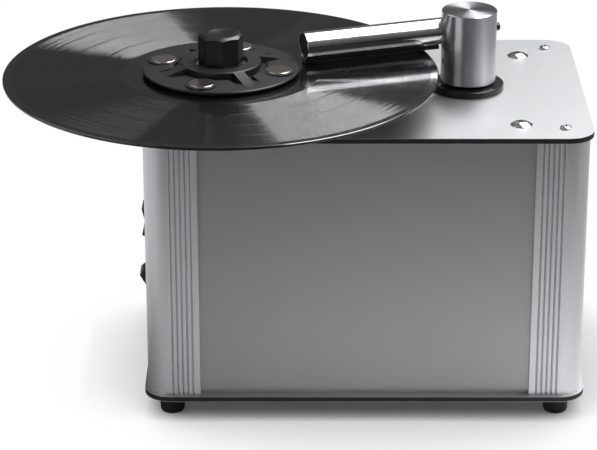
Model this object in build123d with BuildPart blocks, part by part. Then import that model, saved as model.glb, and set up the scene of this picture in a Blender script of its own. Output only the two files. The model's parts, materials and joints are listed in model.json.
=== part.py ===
from build123d import *
import os
from math import cos, hypot, radians, sin

os.makedirs("parts", exist_ok=True)

# Record cleaning machine: an extruded aluminium housing with a platter and record at its front left
# corner, and a hollow suction arm on a lifting pillar that draws the fluid into a tank below it.
# Millimetres. X to the right, Y to the rear, Z up. Origin: middle of the housing's footprint, on the
# surface that the feet stand on.

# ---- Housing: driving sizes ----------------------------------------------------------------------
plate_width = 315.4
plate_depth = 217.4
plate_corner_radius = 19.0
core_thickness = 3.4
skin_thickness = 0.3
post_height = 192.3
side_overhang = 2.4
front_overhang = 3.5

post_corner_radius = 16.5
post_leg = 38.1
flange_thickness = 3.2
groove_count = 5
groove_pitch = 3.55
groove_depth = 0.9
groove_start = 18.7
slot_depth = 9.0
lip_thickness = 2.0
channel_inset = 17.1
channel_radius = 5.6
channel_web = 3.4

panel_thickness = 3.0
panel_clearance = 0.15
panel_bite = 8.0

foot_height = 15.5
foot_top_radius = 9.5
foot_bottom_radius = 8.7
foot_edge_radius = 2.4
foot_recess_radius = 4.4
foot_recess_depth = 6.0

screw_radius = 2.5
screw_clearance = 0.05
screw_length = 20.0
pan_head_radius = 4.0
pan_head_height = 2.4
pan_head_edge = 1.2
dome_head_radius = 7.8
dome_head_height = 3.0
dome_head_edge = 0.4
recess_width = 1.3
recess_depth = 1.2

# ---- Record, platter and drive: driving sizes ----------------------------------------------------
spindle_from_left = 56.4
spindle_from_front = 54.1
record_radius = 152.4
record_thickness = 2.4
record_lift = 29.9
rim_width = 2.4
rim_flat = 1.5
rim_edge = 0.5
groove_recess = 0.2
label_radius = 52.0
label_edge = 2.0
record_hole_radius = 3.62
spindle_radius = 3.55
spindle_rise = 12.0
spindle_tip = 1.2

mat_thickness = 2.0
mat_inner_radius = 30.0
mat_radius = 50.0
platter_radius = 52.0
platter_thickness = 6.0
platter_skirt = 2.0
platter_skirt_width = 6.0
platter_edge = 1.5
hub_radius = 16.0
hub_gap = 0.6
shaft_radius = 5.0
running_clearance = 0.05
bearing_flange_radius = 20.0
bearing_flange_height = 4.0
bearing_barrel_radius = 9.0
bearing_depth = 11.0
bearing_edge = 1.0

bracket_drop = 33.0
bracket_sheet = 2.5
bracket_half_width = 23.5
bracket_flange = 8.0
bracket_length = 36.0
bracket_screw_spread = 22.0
gearbox_radius = 18.5
gearbox_height = 30.0
gearbox_edge = 1.0
motor_can_radius = 17.5
motor_can_height = 52.0
motor_can_edge = 2.0
motor_boss_radius = 5.8
motor_boss_height = 3.0
motor_terminal_spread = 21.0
motor_terminal_width = 3.0
motor_terminal_length = 6.0
terminal_thickness = 0.8
gear_shaft_radius = 3.0
gear_shaft_rise = 13.0
coupling_radius = 9.0
coupling_length = 20.0
coupling_edge = 0.8

# ---- Record clamp: driving sizes -----------------------------------------------------------------
clamp_gap = 0.3
clamp_radius = 54.9
clamp_rim_low = 1.8
clamp_rim_high = 3.6
clamp_rim_edge = 0.6
clamp_face_rise = 1.5
clamp_underside = 1.2
clamp_bore_radius = 3.9
seal_radius = 52.3
seal_width = 4.0
seal_height = 2.0
seal_edge = 0.7
boss_radius = 28.2
boss_height = 8.4
boss_edge = 0.6
boss_recess_radius = 18.4
boss_recess_floor = 5.2
moat_width = 4.6
moat_floor = 2.6
gusset_count = 4
gusset_angle = 27.5
gusset_width = 8.0
gusset_reach = 45.0
gusset_root = 1.5
gusset_ledge = 0.6
gusset_drop = 0.5
gusset_sink = 0.2
gusset_foot = 0.4
pocket_width = 5.0
pocket_overlap = 1.0
pocket_floor = 0.2
magnet_angle = 73.5
magnet_circle = 42.3
magnet_radius = 9.0
magnet_thickness = 3.0
magnet_proud = 0.7
magnet_clearance = 0.05
magnet_edge = 0.3
collar_radius = 11.0
collar_height = 0.7
collar_root = 1.0
washer_thickness = 1.0
washer_clearance = 0.3
knob_corner_radius = 15.9
knob_top = 28.3
knob_turn = 7.9
knob_flat_radius = 12.6
knob_chamfer_drop = 1.8
knob_dish_radius = 9.0
knob_dish_depth = 1.2
knob_bore_clearance = 1.5

# ---- Suction arm: driving sizes ------------------------------------------------------------------
pivot_right_of_spindle = 176.3
pivot_behind_spindle = 52.1
ring_radius = 25.8
ring_height = 4.8
ring_bore_radius = 15.0
ring_edge = 0.5
ring_screw_circle = 21.2
ring_screw_angle = -47.0
ring_screw_count = 3
ring_screw_head = 2.7
ring_screw_shank = 1.5
ring_screw_socket = 1.3
ring_screw_socket_depth = 1.2
socket_radius = 17.0
socket_flange_radius = 26.0
socket_flange_thickness = 3.0
socket_depth = 22.0
bush_radius = 12.0
bush_flange_radius = 14.4
bush_flange_height = 2.6
bush_guide_height = 6.0
spring_chamber_radius = 10.4
axial_clearance = 0.2
pillar_radius = 7.0
pillar_bore_radius = 5.0
pillar_drop = 46.0
block_radius = 19.8
block_bottom = 6.6
block_top = 59.2
block_edge = 0.6
arm_axis_height = 42.2
arm_angle = 199.0
tube_offset = 9.0
tube_radius = 9.8
tube_wall = 0.8
tube_clamp_gap = 6.5
tube_edge = 0.2
tube_slot_width = 2.0
tube_slot_end = 10.0
cap_recess = 0.8
cap_thickness = 5.0
felt_width = 3.0
felt_gap = 1.0
felt_rise = 1.6
felt_record_gap = 0.3
felt_near_block = 20.6
arm_screw_radius = 3.0
arm_screw_height = 44.2
arm_screw_proud = 3.4
arm_screw_edge = 0.4
arm_screw_stop = 1.0
set_screw_radius = 2.0
set_screw_height = 22.7
set_screw_gap = 0.2
set_screw_sink = 1.0
set_screw_socket_depth = 2.0
spring_wire = 1.0
spring_turns = 5
spring_seat_gap = 0.1
spring_top_gap = 0.3
pillar_tank_clearance = 0.5

# ---- Tank, vacuum motor and pipes: driving sizes -------------------------------------------------
tank_left = 20.0
tank_from_right = 30.7
tank_from_front = 34.1
tank_from_rear = 50.7
tank_height = 98.0
tank_wall = 3.0
tank_edge = 4.5
tank_corner = 12.0
tank_below_deck = 24.0
tank_collar_radius = 13.0
tank_collar_height = 1.6
tank_column_radius = 7.5
tank_column_root = 24.0
tank_web_width = 6.0
front_lug_from_right = 49.6
front_lug_from_front = 28.1
rear_lug_from_right = 41.0
rear_lug_from_rear = 38.2
tank_port_from_rear = 74.7
tank_port_drop = 20.0
tank_port_length = 14.0
drain_x = 40.0
drain_rise = 10.0
drain_radius = 4.5
drain_bore_radius = 2.0
drain_behind_panel = 10.0
hose_bend_radius = 9.0
elbow_rise = 14.4
elbow_spigot = 9.0
level_hose_radius = 4.5
level_hose_bore = 3.1
level_hose_top = 82.0
clip_width = 6.0
clip_thickness = 1.6
clip_foot = 11.0
clip_spread = 46.0

vacuum_from_left = 95.7
vacuum_ring_height = 6.0
vacuum_ring_outer = 46.0
vacuum_ring_inner = 38.0
stator_radius = 44.0
stator_height = 54.0
stator_edge = 4.0
fan_case_radius = 52.0
fan_case_height = 32.0
fan_case_wall = 2.0
fan_case_edge = 3.0
fan_outlet_width = 12.0
fan_outlet_height = 10.7
fan_outlet_cut = 8.0
eye_radius = 16.0
eye_rise = 8.0
fan_radius = 46.0
fan_blade_count = 8
fan_blade_thickness = 1.5
fan_blade_length = 33.0
fan_blade_circle = 29.5
fan_blade_angle = 32.0
fan_gap = 2.0
fan_shaft_radius = 4.0
fan_shaft_depth = 10.0
hose_wall = 2.5
hose_grip = 7.0
elbow_radius = 30.0

# ---- Electrical parts: driving sizes -------------------------------------------------------------
switch_from_front = 54.7
direction_switch_z = 135.4
vacuum_switch_z = 86.6
bezel_width = 24.0
bezel_height = 30.0
bezel_thickness = 2.0
bezel_corner = 2.0
bezel_edge = 0.5
switch_body_width = 21.0
switch_body_height = 27.0
switch_body_depth = 20.0
switch_terminal_width = 6.0
switch_terminal_length = 8.0
switch_terminal_pitch = 9.0
cutout_clearance = 0.2
rocker_width = 17.2
rocker_tip_height = 10.0
rocker_tip_rise = 7.0
rocker_valley_rise = 4.6
rocker_clearance = 0.3
rocker_arc_middle = 75.0
rocker_arc_end = 95.0
rocker_foot_half = 5.0
rocker_foot_tip = 3.3
rocker_foot_drop = 4.0
rocker_well_depth = 8.0
rocker_pin_radius = 1.5
rocker_pin_length = 1.0
rocker_pin_gap = 0.1
rocker_tilt = 16.0

inlet_from_right = 82.7
inlet_z = 50.0
inlet_flange_width = 50.0
inlet_flange_height = 25.0
inlet_flange_thickness = 3.0
inlet_flange_corner = 8.0
inlet_flange_edge = 0.6
inlet_body_width = 28.0
inlet_body_height = 20.6
inlet_body_depth = 24.0
inlet_cavity_width = 24.0
inlet_cavity_height = 16.6
inlet_cavity_depth = 17.0
inlet_cavity_chamfer = 4.0
inlet_pin_width = 4.0
inlet_pin_thickness = 2.0
inlet_pin_length = 11.0
inlet_pin_tail = 5.5
inlet_pin_edge = 0.4
inlet_pin_spread = 14.0
inlet_pin_offset = 2.0
inlet_screw_spread = 40.0
inlet_screw_radius = 1.6
inlet_screw_head = 3.2
inlet_screw_head_height = 1.6
inlet_screw_edge = 0.5
inlet_screw_spare = 2.0

board_from_right = 83.7
board_from_front = 72.7
board_width = 92.0
board_depth = 62.0
board_thickness = 1.6
transformer_x = -23.0
transformer_width = 30.6
transformer_depth = 31.0
transformer_height = 23.0
capacitor_x = 11.5
capacitor_spread = 20.6
capacitor_radius = 6.2
capacitor_height = 15.5
heatsink_x = 30.6
heatsink_thickness = 7.6
heatsink_length = 37.2
heatsink_height = 20.6
standoff_height = 8.0
standoff_radius = 3.0
standoff_inset = 5.0

vent_z = 78.0
vent_count = 9
vent_pitch = 8.0
vent_width = 3.0
vent_height = 60.0

# ---- Levels and places worked out from the driving sizes -----------------------------------------
plate_thickness = core_thickness + 2 * skin_thickness
post_z = foot_height + plate_thickness
ceiling_z = post_z + post_height
deck_z = ceiling_z + plate_thickness
post_face_x = plate_width / 2 - side_overhang
post_face_y = plate_depth / 2 - front_overhang
screw_x = post_face_x - channel_inset
screw_y = post_face_y - channel_inset
corner_screws = [(sx * screw_x, sy * screw_y) for sx in (-1, 1) for sy in (-1, 1)]
hole_radius = screw_radius + screw_clearance
slot_width = panel_thickness + 2 * panel_clearance
panel_inset = flange_thickness + panel_clearance
panel_face_x = post_face_x - panel_inset
panel_face_y = post_face_y - panel_inset
panel_height = post_height - panel_clearance

spindle_x = -plate_width / 2 + spindle_from_left
spindle_y = -plate_depth / 2 + spindle_from_front
record_top = deck_z + record_lift
record_bottom = record_top - record_thickness
mat_bottom = record_bottom - mat_thickness
platter_bottom = mat_bottom - platter_thickness
bracket_z = ceiling_z - bracket_drop
gearbox_z = bracket_z - gearbox_height
gear_shaft_top = bracket_z + bracket_sheet + gear_shaft_rise
coupling_z = gear_shaft_top - coupling_length / 2
clamp_z = record_top + clamp_gap

pivot_x = spindle_x + pivot_right_of_spindle
pivot_y = spindle_y + pivot_behind_spindle
ring_top = deck_z + ring_height
socket_bottom = deck_z - socket_depth
spring_floor = socket_bottom + bush_guide_height
block_bottom_z = deck_z + block_bottom
arm_axis_z = deck_z + arm_axis_height
felt_bottom = record_top + felt_record_gap
pillar_top = arm_axis_z - tube_radius
arm_direction = (cos(radians(arm_angle)), sin(radians(arm_angle)), 0)
spindle_reach = (spindle_x - pivot_x) * arm_direction[0] + (spindle_y - pivot_y) * arm_direction[1]
tube_reach = spindle_reach - clamp_radius - tube_clamp_gap
block_passage_offset = tube_offset - (tube_radius - tube_wall) + pillar_bore_radius

tank_right = plate_width / 2 - tank_from_right
tank_front = -plate_depth / 2 + tank_from_front
tank_rear = plate_depth / 2 - tank_from_rear
tank_port_y = plate_depth / 2 - tank_port_from_rear
tank_top = deck_z - plate_thickness - tank_below_deck
tank_z = tank_top - tank_height
tank_port_z = tank_top - tank_port_drop
drain_z = tank_z + drain_rise
vacuum_x = -plate_width / 2 + vacuum_from_left
stator_z = post_z + vacuum_ring_height
fan_case_z = stator_z + stator_height
eye_z = fan_case_z + fan_case_height + eye_rise

switch_y = -plate_depth / 2 + switch_from_front
inlet_x = plate_width / 2 - inlet_from_right
board_x = plate_width / 2 - board_from_right
board_y = -plate_depth / 2 + board_from_front

spindle = (spindle_x, spindle_y)
pivot = (pivot_x, pivot_y)
large_screws = [
    (plate_width / 2 - front_lug_from_right, -plate_depth / 2 + front_lug_from_front),
    (plate_width / 2 - rear_lug_from_right, plate_depth / 2 - rear_lug_from_rear),
]
bracket_holes = [
    (spindle_x + sx * (bracket_half_width + bracket_flange / 2), spindle_y + sy * bracket_screw_spread / 2)
    for sx in (-1, 1)
    for sy in (-1, 1)
]
ring_screws_at = [
    (
        pivot_x + ring_screw_circle * cos(radians(ring_screw_angle + i * 360 / ring_screw_count)),
        pivot_y + ring_screw_circle * sin(radians(ring_screw_angle + i * 360 / ring_screw_count)),
    )
    for i in range(ring_screw_count)
]


def save(part, name):
    part.label = name
    export_step(part, f"parts/{name}.step")


def at(point, z):
    """A level plane whose origin stands over a plan point."""
    return Plane(origin=(point[0], point[1], z))


def upright(point):
    """The XZ plane through a plan point, for profiles that are turned about its vertical axis."""
    return Plane(origin=(point[0], point[1], 0), x_dir=(1, 0, 0), z_dir=(0, -1, 0))


def spot(points, z, flip=False):
    """Locations at plan points, turned over for what is driven up from below."""
    return Locations(*[Location((x, y, z), (180 if flip else 0, 0, 0)) for x, y in points])


# ---- Screws: one solid of each kind, placed in groups --------------------------------------------
def domed_screw(head_radius, head_edge, head_top):
    """A screw whose seat is at zero: shank down, domed head up, with a cross in it."""
    dome = head_top - head_edge
    dome_radius = (head_radius**2 + dome**2) / (2 * dome)
    with BuildPart() as screw:
        with BuildSketch(Plane.XZ):
            with BuildLine():
                Polyline(
                    (0, head_top),
                    (0, -screw_length),
                    (screw_radius, -screw_length),
                    (screw_radius, 0),
                    (head_radius, 0),
                    (head_radius, head_edge),
                )
                RadiusArc((head_radius, head_edge), (0, head_top), -dome_radius)
            make_face()
        revolve(axis=Axis.Z)
        with BuildSketch(Plane.XY.offset(head_top)):
            Rectangle(4 * recess_width, recess_width)
            Rectangle(recess_width, 4 * recess_width)
        extrude(amount=-recess_depth, mode=Mode.SUBTRACT)
    return screw.part


pan_screw = domed_screw(pan_head_radius, pan_head_edge, pan_head_height)
dome_screw = domed_screw(dome_head_radius, dome_head_edge, dome_head_height)

with BuildPart() as plate_screws:
    with spot(corner_screws + bracket_holes, deck_z):
        add(pan_screw)
    with spot(corner_screws, foot_recess_depth, flip=True):
        add(pan_screw)
save(plate_screws.part, "plate_screws")

with BuildPart() as tank_screws:
    with spot(large_screws, deck_z):
        add(dome_screw)
save(tank_screws.part, "tank_screws")


# ---- Feet ----------------------------------------------------------------------------------------
with BuildPart() as foot:
    with BuildSketch(Plane.XZ) as foot_half:
        with BuildLine():
            Polyline(
                (hole_radius, foot_recess_depth),
                (foot_recess_radius, foot_recess_depth),
                (foot_recess_radius, 0),
                (foot_bottom_radius, 0),
                (foot_top_radius, foot_height),
                (hole_radius, foot_height),
                (hole_radius, foot_recess_depth),
            )
        make_face()
        fillet(foot_half.vertices().group_by(Axis.Y)[0].sort_by(Axis.X)[-1], radius=foot_edge_radius)
    revolve(axis=Axis.Z)

with BuildPart() as rubber_feet:
    with Locations(*[(x, y, 0) for x, y in corner_screws]):
        add(foot.part)
save(rubber_feet.part, "rubber_feet")


# ---- Top and bottom plates: black core between thin metal skins ----------------------------------
def plate_layer(z, thickness, holes, more_holes=()):
    """One layer of a plate with its screw holes and its larger openings."""
    with BuildSketch(Plane.XY.offset(z)) as layer:
        RectangleRounded(plate_width, plate_depth, plate_corner_radius)
        with Locations(*holes):
            Circle(hole_radius, mode=Mode.SUBTRACT)
        for point, radius in more_holes:
            with Locations(point):
                Circle(radius, mode=Mode.SUBTRACT)
    extrude(layer.sketch, amount=thickness)


top_holes = corner_screws + bracket_holes + large_screws
top_openings = [(point, ring_screw_shank + screw_clearance) for point in ring_screws_at]
top_openings.append((spindle, bearing_barrel_radius + screw_clearance))
top_openings.append((pivot, socket_radius + screw_clearance))

with BuildPart() as top_plate_core:
    plate_layer(ceiling_z + skin_thickness, core_thickness, top_holes, top_openings)
save(top_plate_core.part, "top_plate_core")

with BuildPart() as top_plate_skins:
    plate_layer(ceiling_z, skin_thickness, top_holes, top_openings)
    plate_layer(deck_z - skin_thickness, skin_thickness, top_holes, top_openings)
save(top_plate_skins.part, "top_plate_skins")

with BuildPart() as bottom_plate_core:
    plate_layer(foot_height + skin_thickness, core_thickness, corner_screws)
save(bottom_plate_core.part, "bottom_plate_core")

with BuildPart() as bottom_plate_skins:
    plate_layer(foot_height, skin_thickness, corner_screws)
    plate_layer(post_z - skin_thickness, skin_thickness, corner_screws)
save(bottom_plate_skins.part, "bottom_plate_skins")


# ---- Corner posts: one extruded section, its outer corner at the sketch's origin -----------------
def slot_leg(along_x):
    """The inner lip that makes the panel slot of one leg."""
    lip_y = flange_thickness + slot_width
    start = post_leg - slot_depth
    size = (slot_depth + lip_thickness, lip_thickness)
    low = (start - lip_thickness, lip_y)
    web = (lip_thickness, slot_width + lip_thickness)
    web_low = (start - lip_thickness, flange_thickness)
    for (width, depth), (x, y) in ((size, low), (web, web_low)):
        if not along_x:
            width, depth, x, y = depth, width, y, x
        with Locations((x, y)):
            Rectangle(width, depth, align=(Align.MIN, Align.MIN))


with BuildSketch() as post_section:
    with BuildSketch(mode=Mode.PRIVATE) as outer_corner:
        Rectangle(post_leg, post_leg, align=(Align.MIN, Align.MIN))
        fillet(outer_corner.vertices().sort_by_distance((0, 0))[0], radius=post_corner_radius)
    with BuildSketch(mode=Mode.PRIVATE) as inner_corner:
        with Locations((flange_thickness, flange_thickness)):
            Rectangle(post_leg, post_leg, align=(Align.MIN, Align.MIN))
        fillet(
            inner_corner.vertices().sort_by_distance((0, 0))[0],
            radius=post_corner_radius - flange_thickness,
        )
    add(outer_corner.sketch)
    add(inner_corner.sketch, mode=Mode.SUBTRACT)
    slot_leg(True)
    slot_leg(False)
    corner_gap = post_corner_radius * (2**0.5 - 1) + flange_thickness / 2
    web_reach = hypot(channel_inset, channel_inset) - corner_gap
    with Locations(Location((channel_inset, channel_inset), 225)):
        Rectangle(web_reach, channel_web, align=(Align.MIN, Align.CENTER))
    with Locations((channel_inset, channel_inset)):
        Circle(channel_radius)
        Circle(hole_radius, mode=Mode.SUBTRACT)
    groove_side = groove_depth * 2**0.5
    for i in range(groove_count):
        station = groove_start + i * groove_pitch
        with Locations((station, 0), (0, station)):
            Rectangle(groove_side, groove_side, rotation=45, mode=Mode.SUBTRACT)

post_turns = {
    "front_left": (-1, -1, 0),
    "front_right": (1, -1, 90),
    "rear_right": (1, 1, 180),
    "rear_left": (-1, 1, 270),
}
for corner, (sx, sy, turn) in post_turns.items():
    direction = (cos(radians(turn)), sin(radians(turn)), 0)
    with BuildPart() as post:
        outer_edge = (sx * post_face_x, sy * post_face_y, post_z)
        with BuildSketch(Plane(outer_edge, x_dir=direction, z_dir=(0, 0, 1))):
            add(post_section.sketch)
        extrude(amount=post_height)
    save(post.part, f"corner_post_{corner}")


# ---- Panels, held in the posts' slots ------------------------------------------------------------
front_panel_width = 2 * (post_face_x - post_leg + panel_bite)
side_panel_width = 2 * (post_face_y - post_leg + panel_bite)
panel_middle_z = post_z + panel_height / 2
front_plane = Plane(origin=(0, -panel_face_y, panel_middle_z), x_dir=(1, 0, 0), z_dir=(0, -1, 0))
rear_plane = Plane(origin=(0, panel_face_y, panel_middle_z), x_dir=(-1, 0, 0), z_dir=(0, 1, 0))
left_plane = Plane(origin=(-panel_face_x, 0, panel_middle_z), x_dir=(0, -1, 0), z_dir=(-1, 0, 0))
right_plane = Plane(origin=(panel_face_x, 0, panel_middle_z), x_dir=(0, 1, 0), z_dir=(1, 0, 0))

with BuildPart() as front_panel:
    with BuildSketch(front_plane):
        Rectangle(front_panel_width, panel_height)
    extrude(amount=-panel_thickness)
save(front_panel.part, "front_panel")

with BuildPart() as right_panel:
    with BuildSketch(right_plane):
        Rectangle(side_panel_width, panel_height)
    extrude(amount=-panel_thickness)
save(right_panel.part, "right_panel")

with BuildPart() as left_panel:
    with BuildSketch(left_plane):
        Rectangle(side_panel_width, panel_height)
        for z in (direction_switch_z, vacuum_switch_z):
            with Locations((-switch_y, z - panel_middle_z)):
                Rectangle(
                    switch_body_width + 2 * cutout_clearance,
                    switch_body_height + 2 * cutout_clearance,
                    mode=Mode.SUBTRACT,
                )
    extrude(amount=-panel_thickness)
save(left_panel.part, "left_panel")

with BuildPart() as rear_panel:
    with BuildSketch(rear_plane):
        Rectangle(front_panel_width, panel_height)
        with Locations((-vacuum_x, vent_z - panel_middle_z)):
            with GridLocations(vent_pitch, 0, vent_count, 1):
                SlotOverall(vent_height, vent_width, rotation=90, mode=Mode.SUBTRACT)
        with Locations((-inlet_x, inlet_z - panel_middle_z)):
            Rectangle(
                inlet_body_width + 2 * cutout_clearance,
                inlet_body_height + 2 * cutout_clearance,
                mode=Mode.SUBTRACT,
            )
            with Locations((-inlet_screw_spread / 2, 0), (inlet_screw_spread / 2, 0)):
                Circle(inlet_screw_radius + screw_clearance, mode=Mode.SUBTRACT)
        with Locations((-drain_x, drain_z - panel_middle_z)):
            Circle(drain_radius + cutout_clearance, mode=Mode.SUBTRACT)
    extrude(amount=-panel_thickness)
save(rear_panel.part, "rear_panel")


# ---- Platter, its bearing and its drive ----------------------------------------------------------
spindle_axis = Axis((spindle_x, spindle_y, 0), (0, 0, 1))

with BuildPart() as platter_bearing:
    with BuildSketch(at(spindle, deck_z)):
        Circle(bearing_flange_radius)
    extrude(amount=bearing_flange_height)
    chamfer(platter_bearing.edges().group_by(Axis.Z)[-1], length=bearing_edge)
    with BuildSketch(at(spindle, deck_z)):
        Circle(bearing_barrel_radius)
    extrude(amount=-bearing_depth)
    with BuildSketch(at(spindle, deck_z - bearing_depth)):
        Circle(shaft_radius + running_clearance)
    extrude(amount=bearing_depth + bearing_flange_height, mode=Mode.SUBTRACT)
save(platter_bearing.part, "platter_bearing")

with BuildPart() as platter_shaft:
    with BuildSketch(at(spindle, coupling_z + coupling_length / 2 + hub_gap)):
        Circle(shaft_radius)
    extrude(amount=mat_bottom - coupling_z - coupling_length / 2 - hub_gap)
    with BuildSketch(at(spindle, mat_bottom)):
        Circle(spindle_radius)
    extrude(amount=record_top + spindle_rise - mat_bottom)
    chamfer(platter_shaft.edges().group_by(Axis.Z)[-1], length=spindle_tip)
save(platter_shaft.part, "platter_shaft")

with BuildPart() as platter:
    with BuildSketch(upright(spindle)) as platter_half:
        hub_bottom = deck_z + bearing_flange_height + hub_gap
        bore = shaft_radius + running_clearance
        with BuildLine():
            Polyline(
                (bore, hub_bottom),
                (hub_radius, hub_bottom),
                (hub_radius, platter_bottom),
                (platter_radius - platter_skirt_width, platter_bottom),
                (platter_radius - platter_skirt_width, platter_bottom - platter_skirt),
                (platter_radius, platter_bottom - platter_skirt),
                (platter_radius, mat_bottom),
                (bore, mat_bottom),
                (bore, hub_bottom),
            )
        make_face()
        chamfer(platter_half.vertices().group_by(Axis.Y)[-1].sort_by(Axis.X)[-1], length=platter_edge)
    revolve(axis=spindle_axis)
save(platter.part, "platter")

with BuildPart() as platter_mat:
    with BuildSketch(at(spindle, mat_bottom)):
        Circle(mat_radius)
        Circle(mat_inner_radius, mode=Mode.SUBTRACT)
    extrude(amount=mat_thickness)
save(platter_mat.part, "platter_mat")

with BuildPart() as record:
    with BuildSketch(upright(spindle)) as record_half:
        middle = record_bottom + record_thickness / 2
        half = record_thickness / 2
        thin = half - groove_recess
        with BuildLine():
            Polyline(
                (record_hole_radius, middle - half),
                (label_radius, middle - half),
                (label_radius + label_edge, middle - thin),
                (record_radius - rim_width, middle - thin),
                (record_radius - rim_flat, middle - half),
                (record_radius - rim_edge, middle - half),
                (record_radius, middle - half + rim_edge),
                (record_radius, middle + half - rim_edge),
                (record_radius - rim_edge, middle + half),
                (record_radius - rim_flat, middle + half),
                (record_radius - rim_width, middle + thin),
                (label_radius + label_edge, middle + thin),
                (label_radius, middle + half),
                (record_hole_radius, middle + half),
                (record_hole_radius, middle - half),
            )
        make_face()
    revolve(axis=spindle_axis)
save(record.part, "record")

with BuildPart() as motor_bracket:
    with BuildSketch(upright(spindle)):
        inner = bracket_half_width - bracket_sheet
        outer = bracket_half_width
        reach = bracket_half_width + bracket_flange
        with BuildLine():
            Polyline(
                (-reach, ceiling_z),
                (-inner, ceiling_z),
                (-inner, bracket_z + bracket_sheet),
                (inner, bracket_z + bracket_sheet),
                (inner, ceiling_z),
                (reach, ceiling_z),
                (reach, ceiling_z - bracket_sheet),
                (outer, ceiling_z - bracket_sheet),
                (outer, bracket_z),
                (-outer, bracket_z),
                (-outer, ceiling_z - bracket_sheet),
                (-reach, ceiling_z - bracket_sheet),
                (-reach, ceiling_z),
            )
        make_face()
    extrude(amount=bracket_length / 2, both=True)
    with BuildSketch(at(spindle, bracket_z)):
        Circle(gear_shaft_radius * 2 + cutout_clearance)
    extrude(amount=bracket_sheet, mode=Mode.SUBTRACT)
    with BuildSketch(at((0, 0), ceiling_z)):
        with Locations(*bracket_holes):
            Circle(hole_radius)
    extrude(amount=-bracket_sheet, mode=Mode.SUBTRACT)
save(motor_bracket.part, "motor_bracket")

with BuildPart() as gearbox:
    with BuildSketch(at(spindle, gearbox_z)):
        Circle(gearbox_radius)
    extrude(amount=gearbox_height)
    chamfer(gearbox.edges().filter_by(GeomType.CIRCLE), length=gearbox_edge)
    with BuildSketch(at(spindle, bracket_z)):
        Circle(gear_shaft_radius * 2)
    extrude(amount=bracket_sheet)
    with BuildSketch(at(spindle, bracket_z + bracket_sheet)):
        Circle(gear_shaft_radius + running_clearance)
    extrude(amount=-gear_shaft_rise, mode=Mode.SUBTRACT)
save(gearbox.part, "gearbox")

with BuildPart() as drive_motor:
    with BuildSketch(at(spindle, gearbox_z)):
        Circle(motor_can_radius)
    extrude(amount=-motor_can_height)
    fillet(drive_motor.edges().group_by(Axis.Z)[0], radius=motor_can_edge)
    with BuildSketch(at(spindle, gearbox_z - motor_can_height)):
        Circle(motor_boss_radius)
    extrude(amount=-motor_boss_height)
    with BuildSketch(at(spindle, gearbox_z - motor_can_height)):
        with GridLocations(0, motor_terminal_spread, 1, 2):
            Rectangle(motor_terminal_width, terminal_thickness)
    extrude(amount=-motor_terminal_length)
save(drive_motor.part, "drive_motor")

with BuildPart() as gearbox_shaft:
    with BuildSketch(at(spindle, gear_shaft_top)):
        Circle(gear_shaft_radius)
    extrude(amount=-2 * gear_shaft_rise + axial_clearance)
save(gearbox_shaft.part, "gearbox_shaft")

with BuildPart() as shaft_coupling:
    with BuildSketch(at(spindle, coupling_z)):
        Circle(coupling_radius)
    extrude(amount=coupling_length)
    chamfer(shaft_coupling.edges().filter_by(GeomType.CIRCLE), length=coupling_edge)
    with BuildSketch(at(spindle, coupling_z)):
        Circle(gear_shaft_radius + screw_clearance)
    extrude(amount=coupling_length, mode=Mode.SUBTRACT)
    with BuildSketch(at(spindle, gear_shaft_top)):
        Circle(shaft_radius + screw_clearance)
    extrude(amount=coupling_length, mode=Mode.SUBTRACT)
save(shaft_coupling.part, "shaft_coupling")


# ---- Record clamp --------------------------------------------------------------------------------
def clamp_surface(radius):
    """Height of the clamp's upper face at a radius, above its zero level."""
    share = (clamp_radius - radius) / (clamp_radius - boss_radius)
    return clamp_rim_high + clamp_face_rise * share


def around(angle, count=1):
    """Places at equal angles about the spindle."""
    return [
        (cos(radians(angle + i * 360 / count)), sin(radians(angle + i * 360 / count)))
        for i in range(count)
    ]


magnet_places = [
    (spindle_x + magnet_circle * x, spindle_y + magnet_circle * y)
    for x, y in around(magnet_angle, gusset_count)
]
collar_top = clamp_z + clamp_surface(magnet_circle) + collar_height
magnet_top = collar_top + magnet_proud
moat_radius = boss_radius + moat_width

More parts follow.
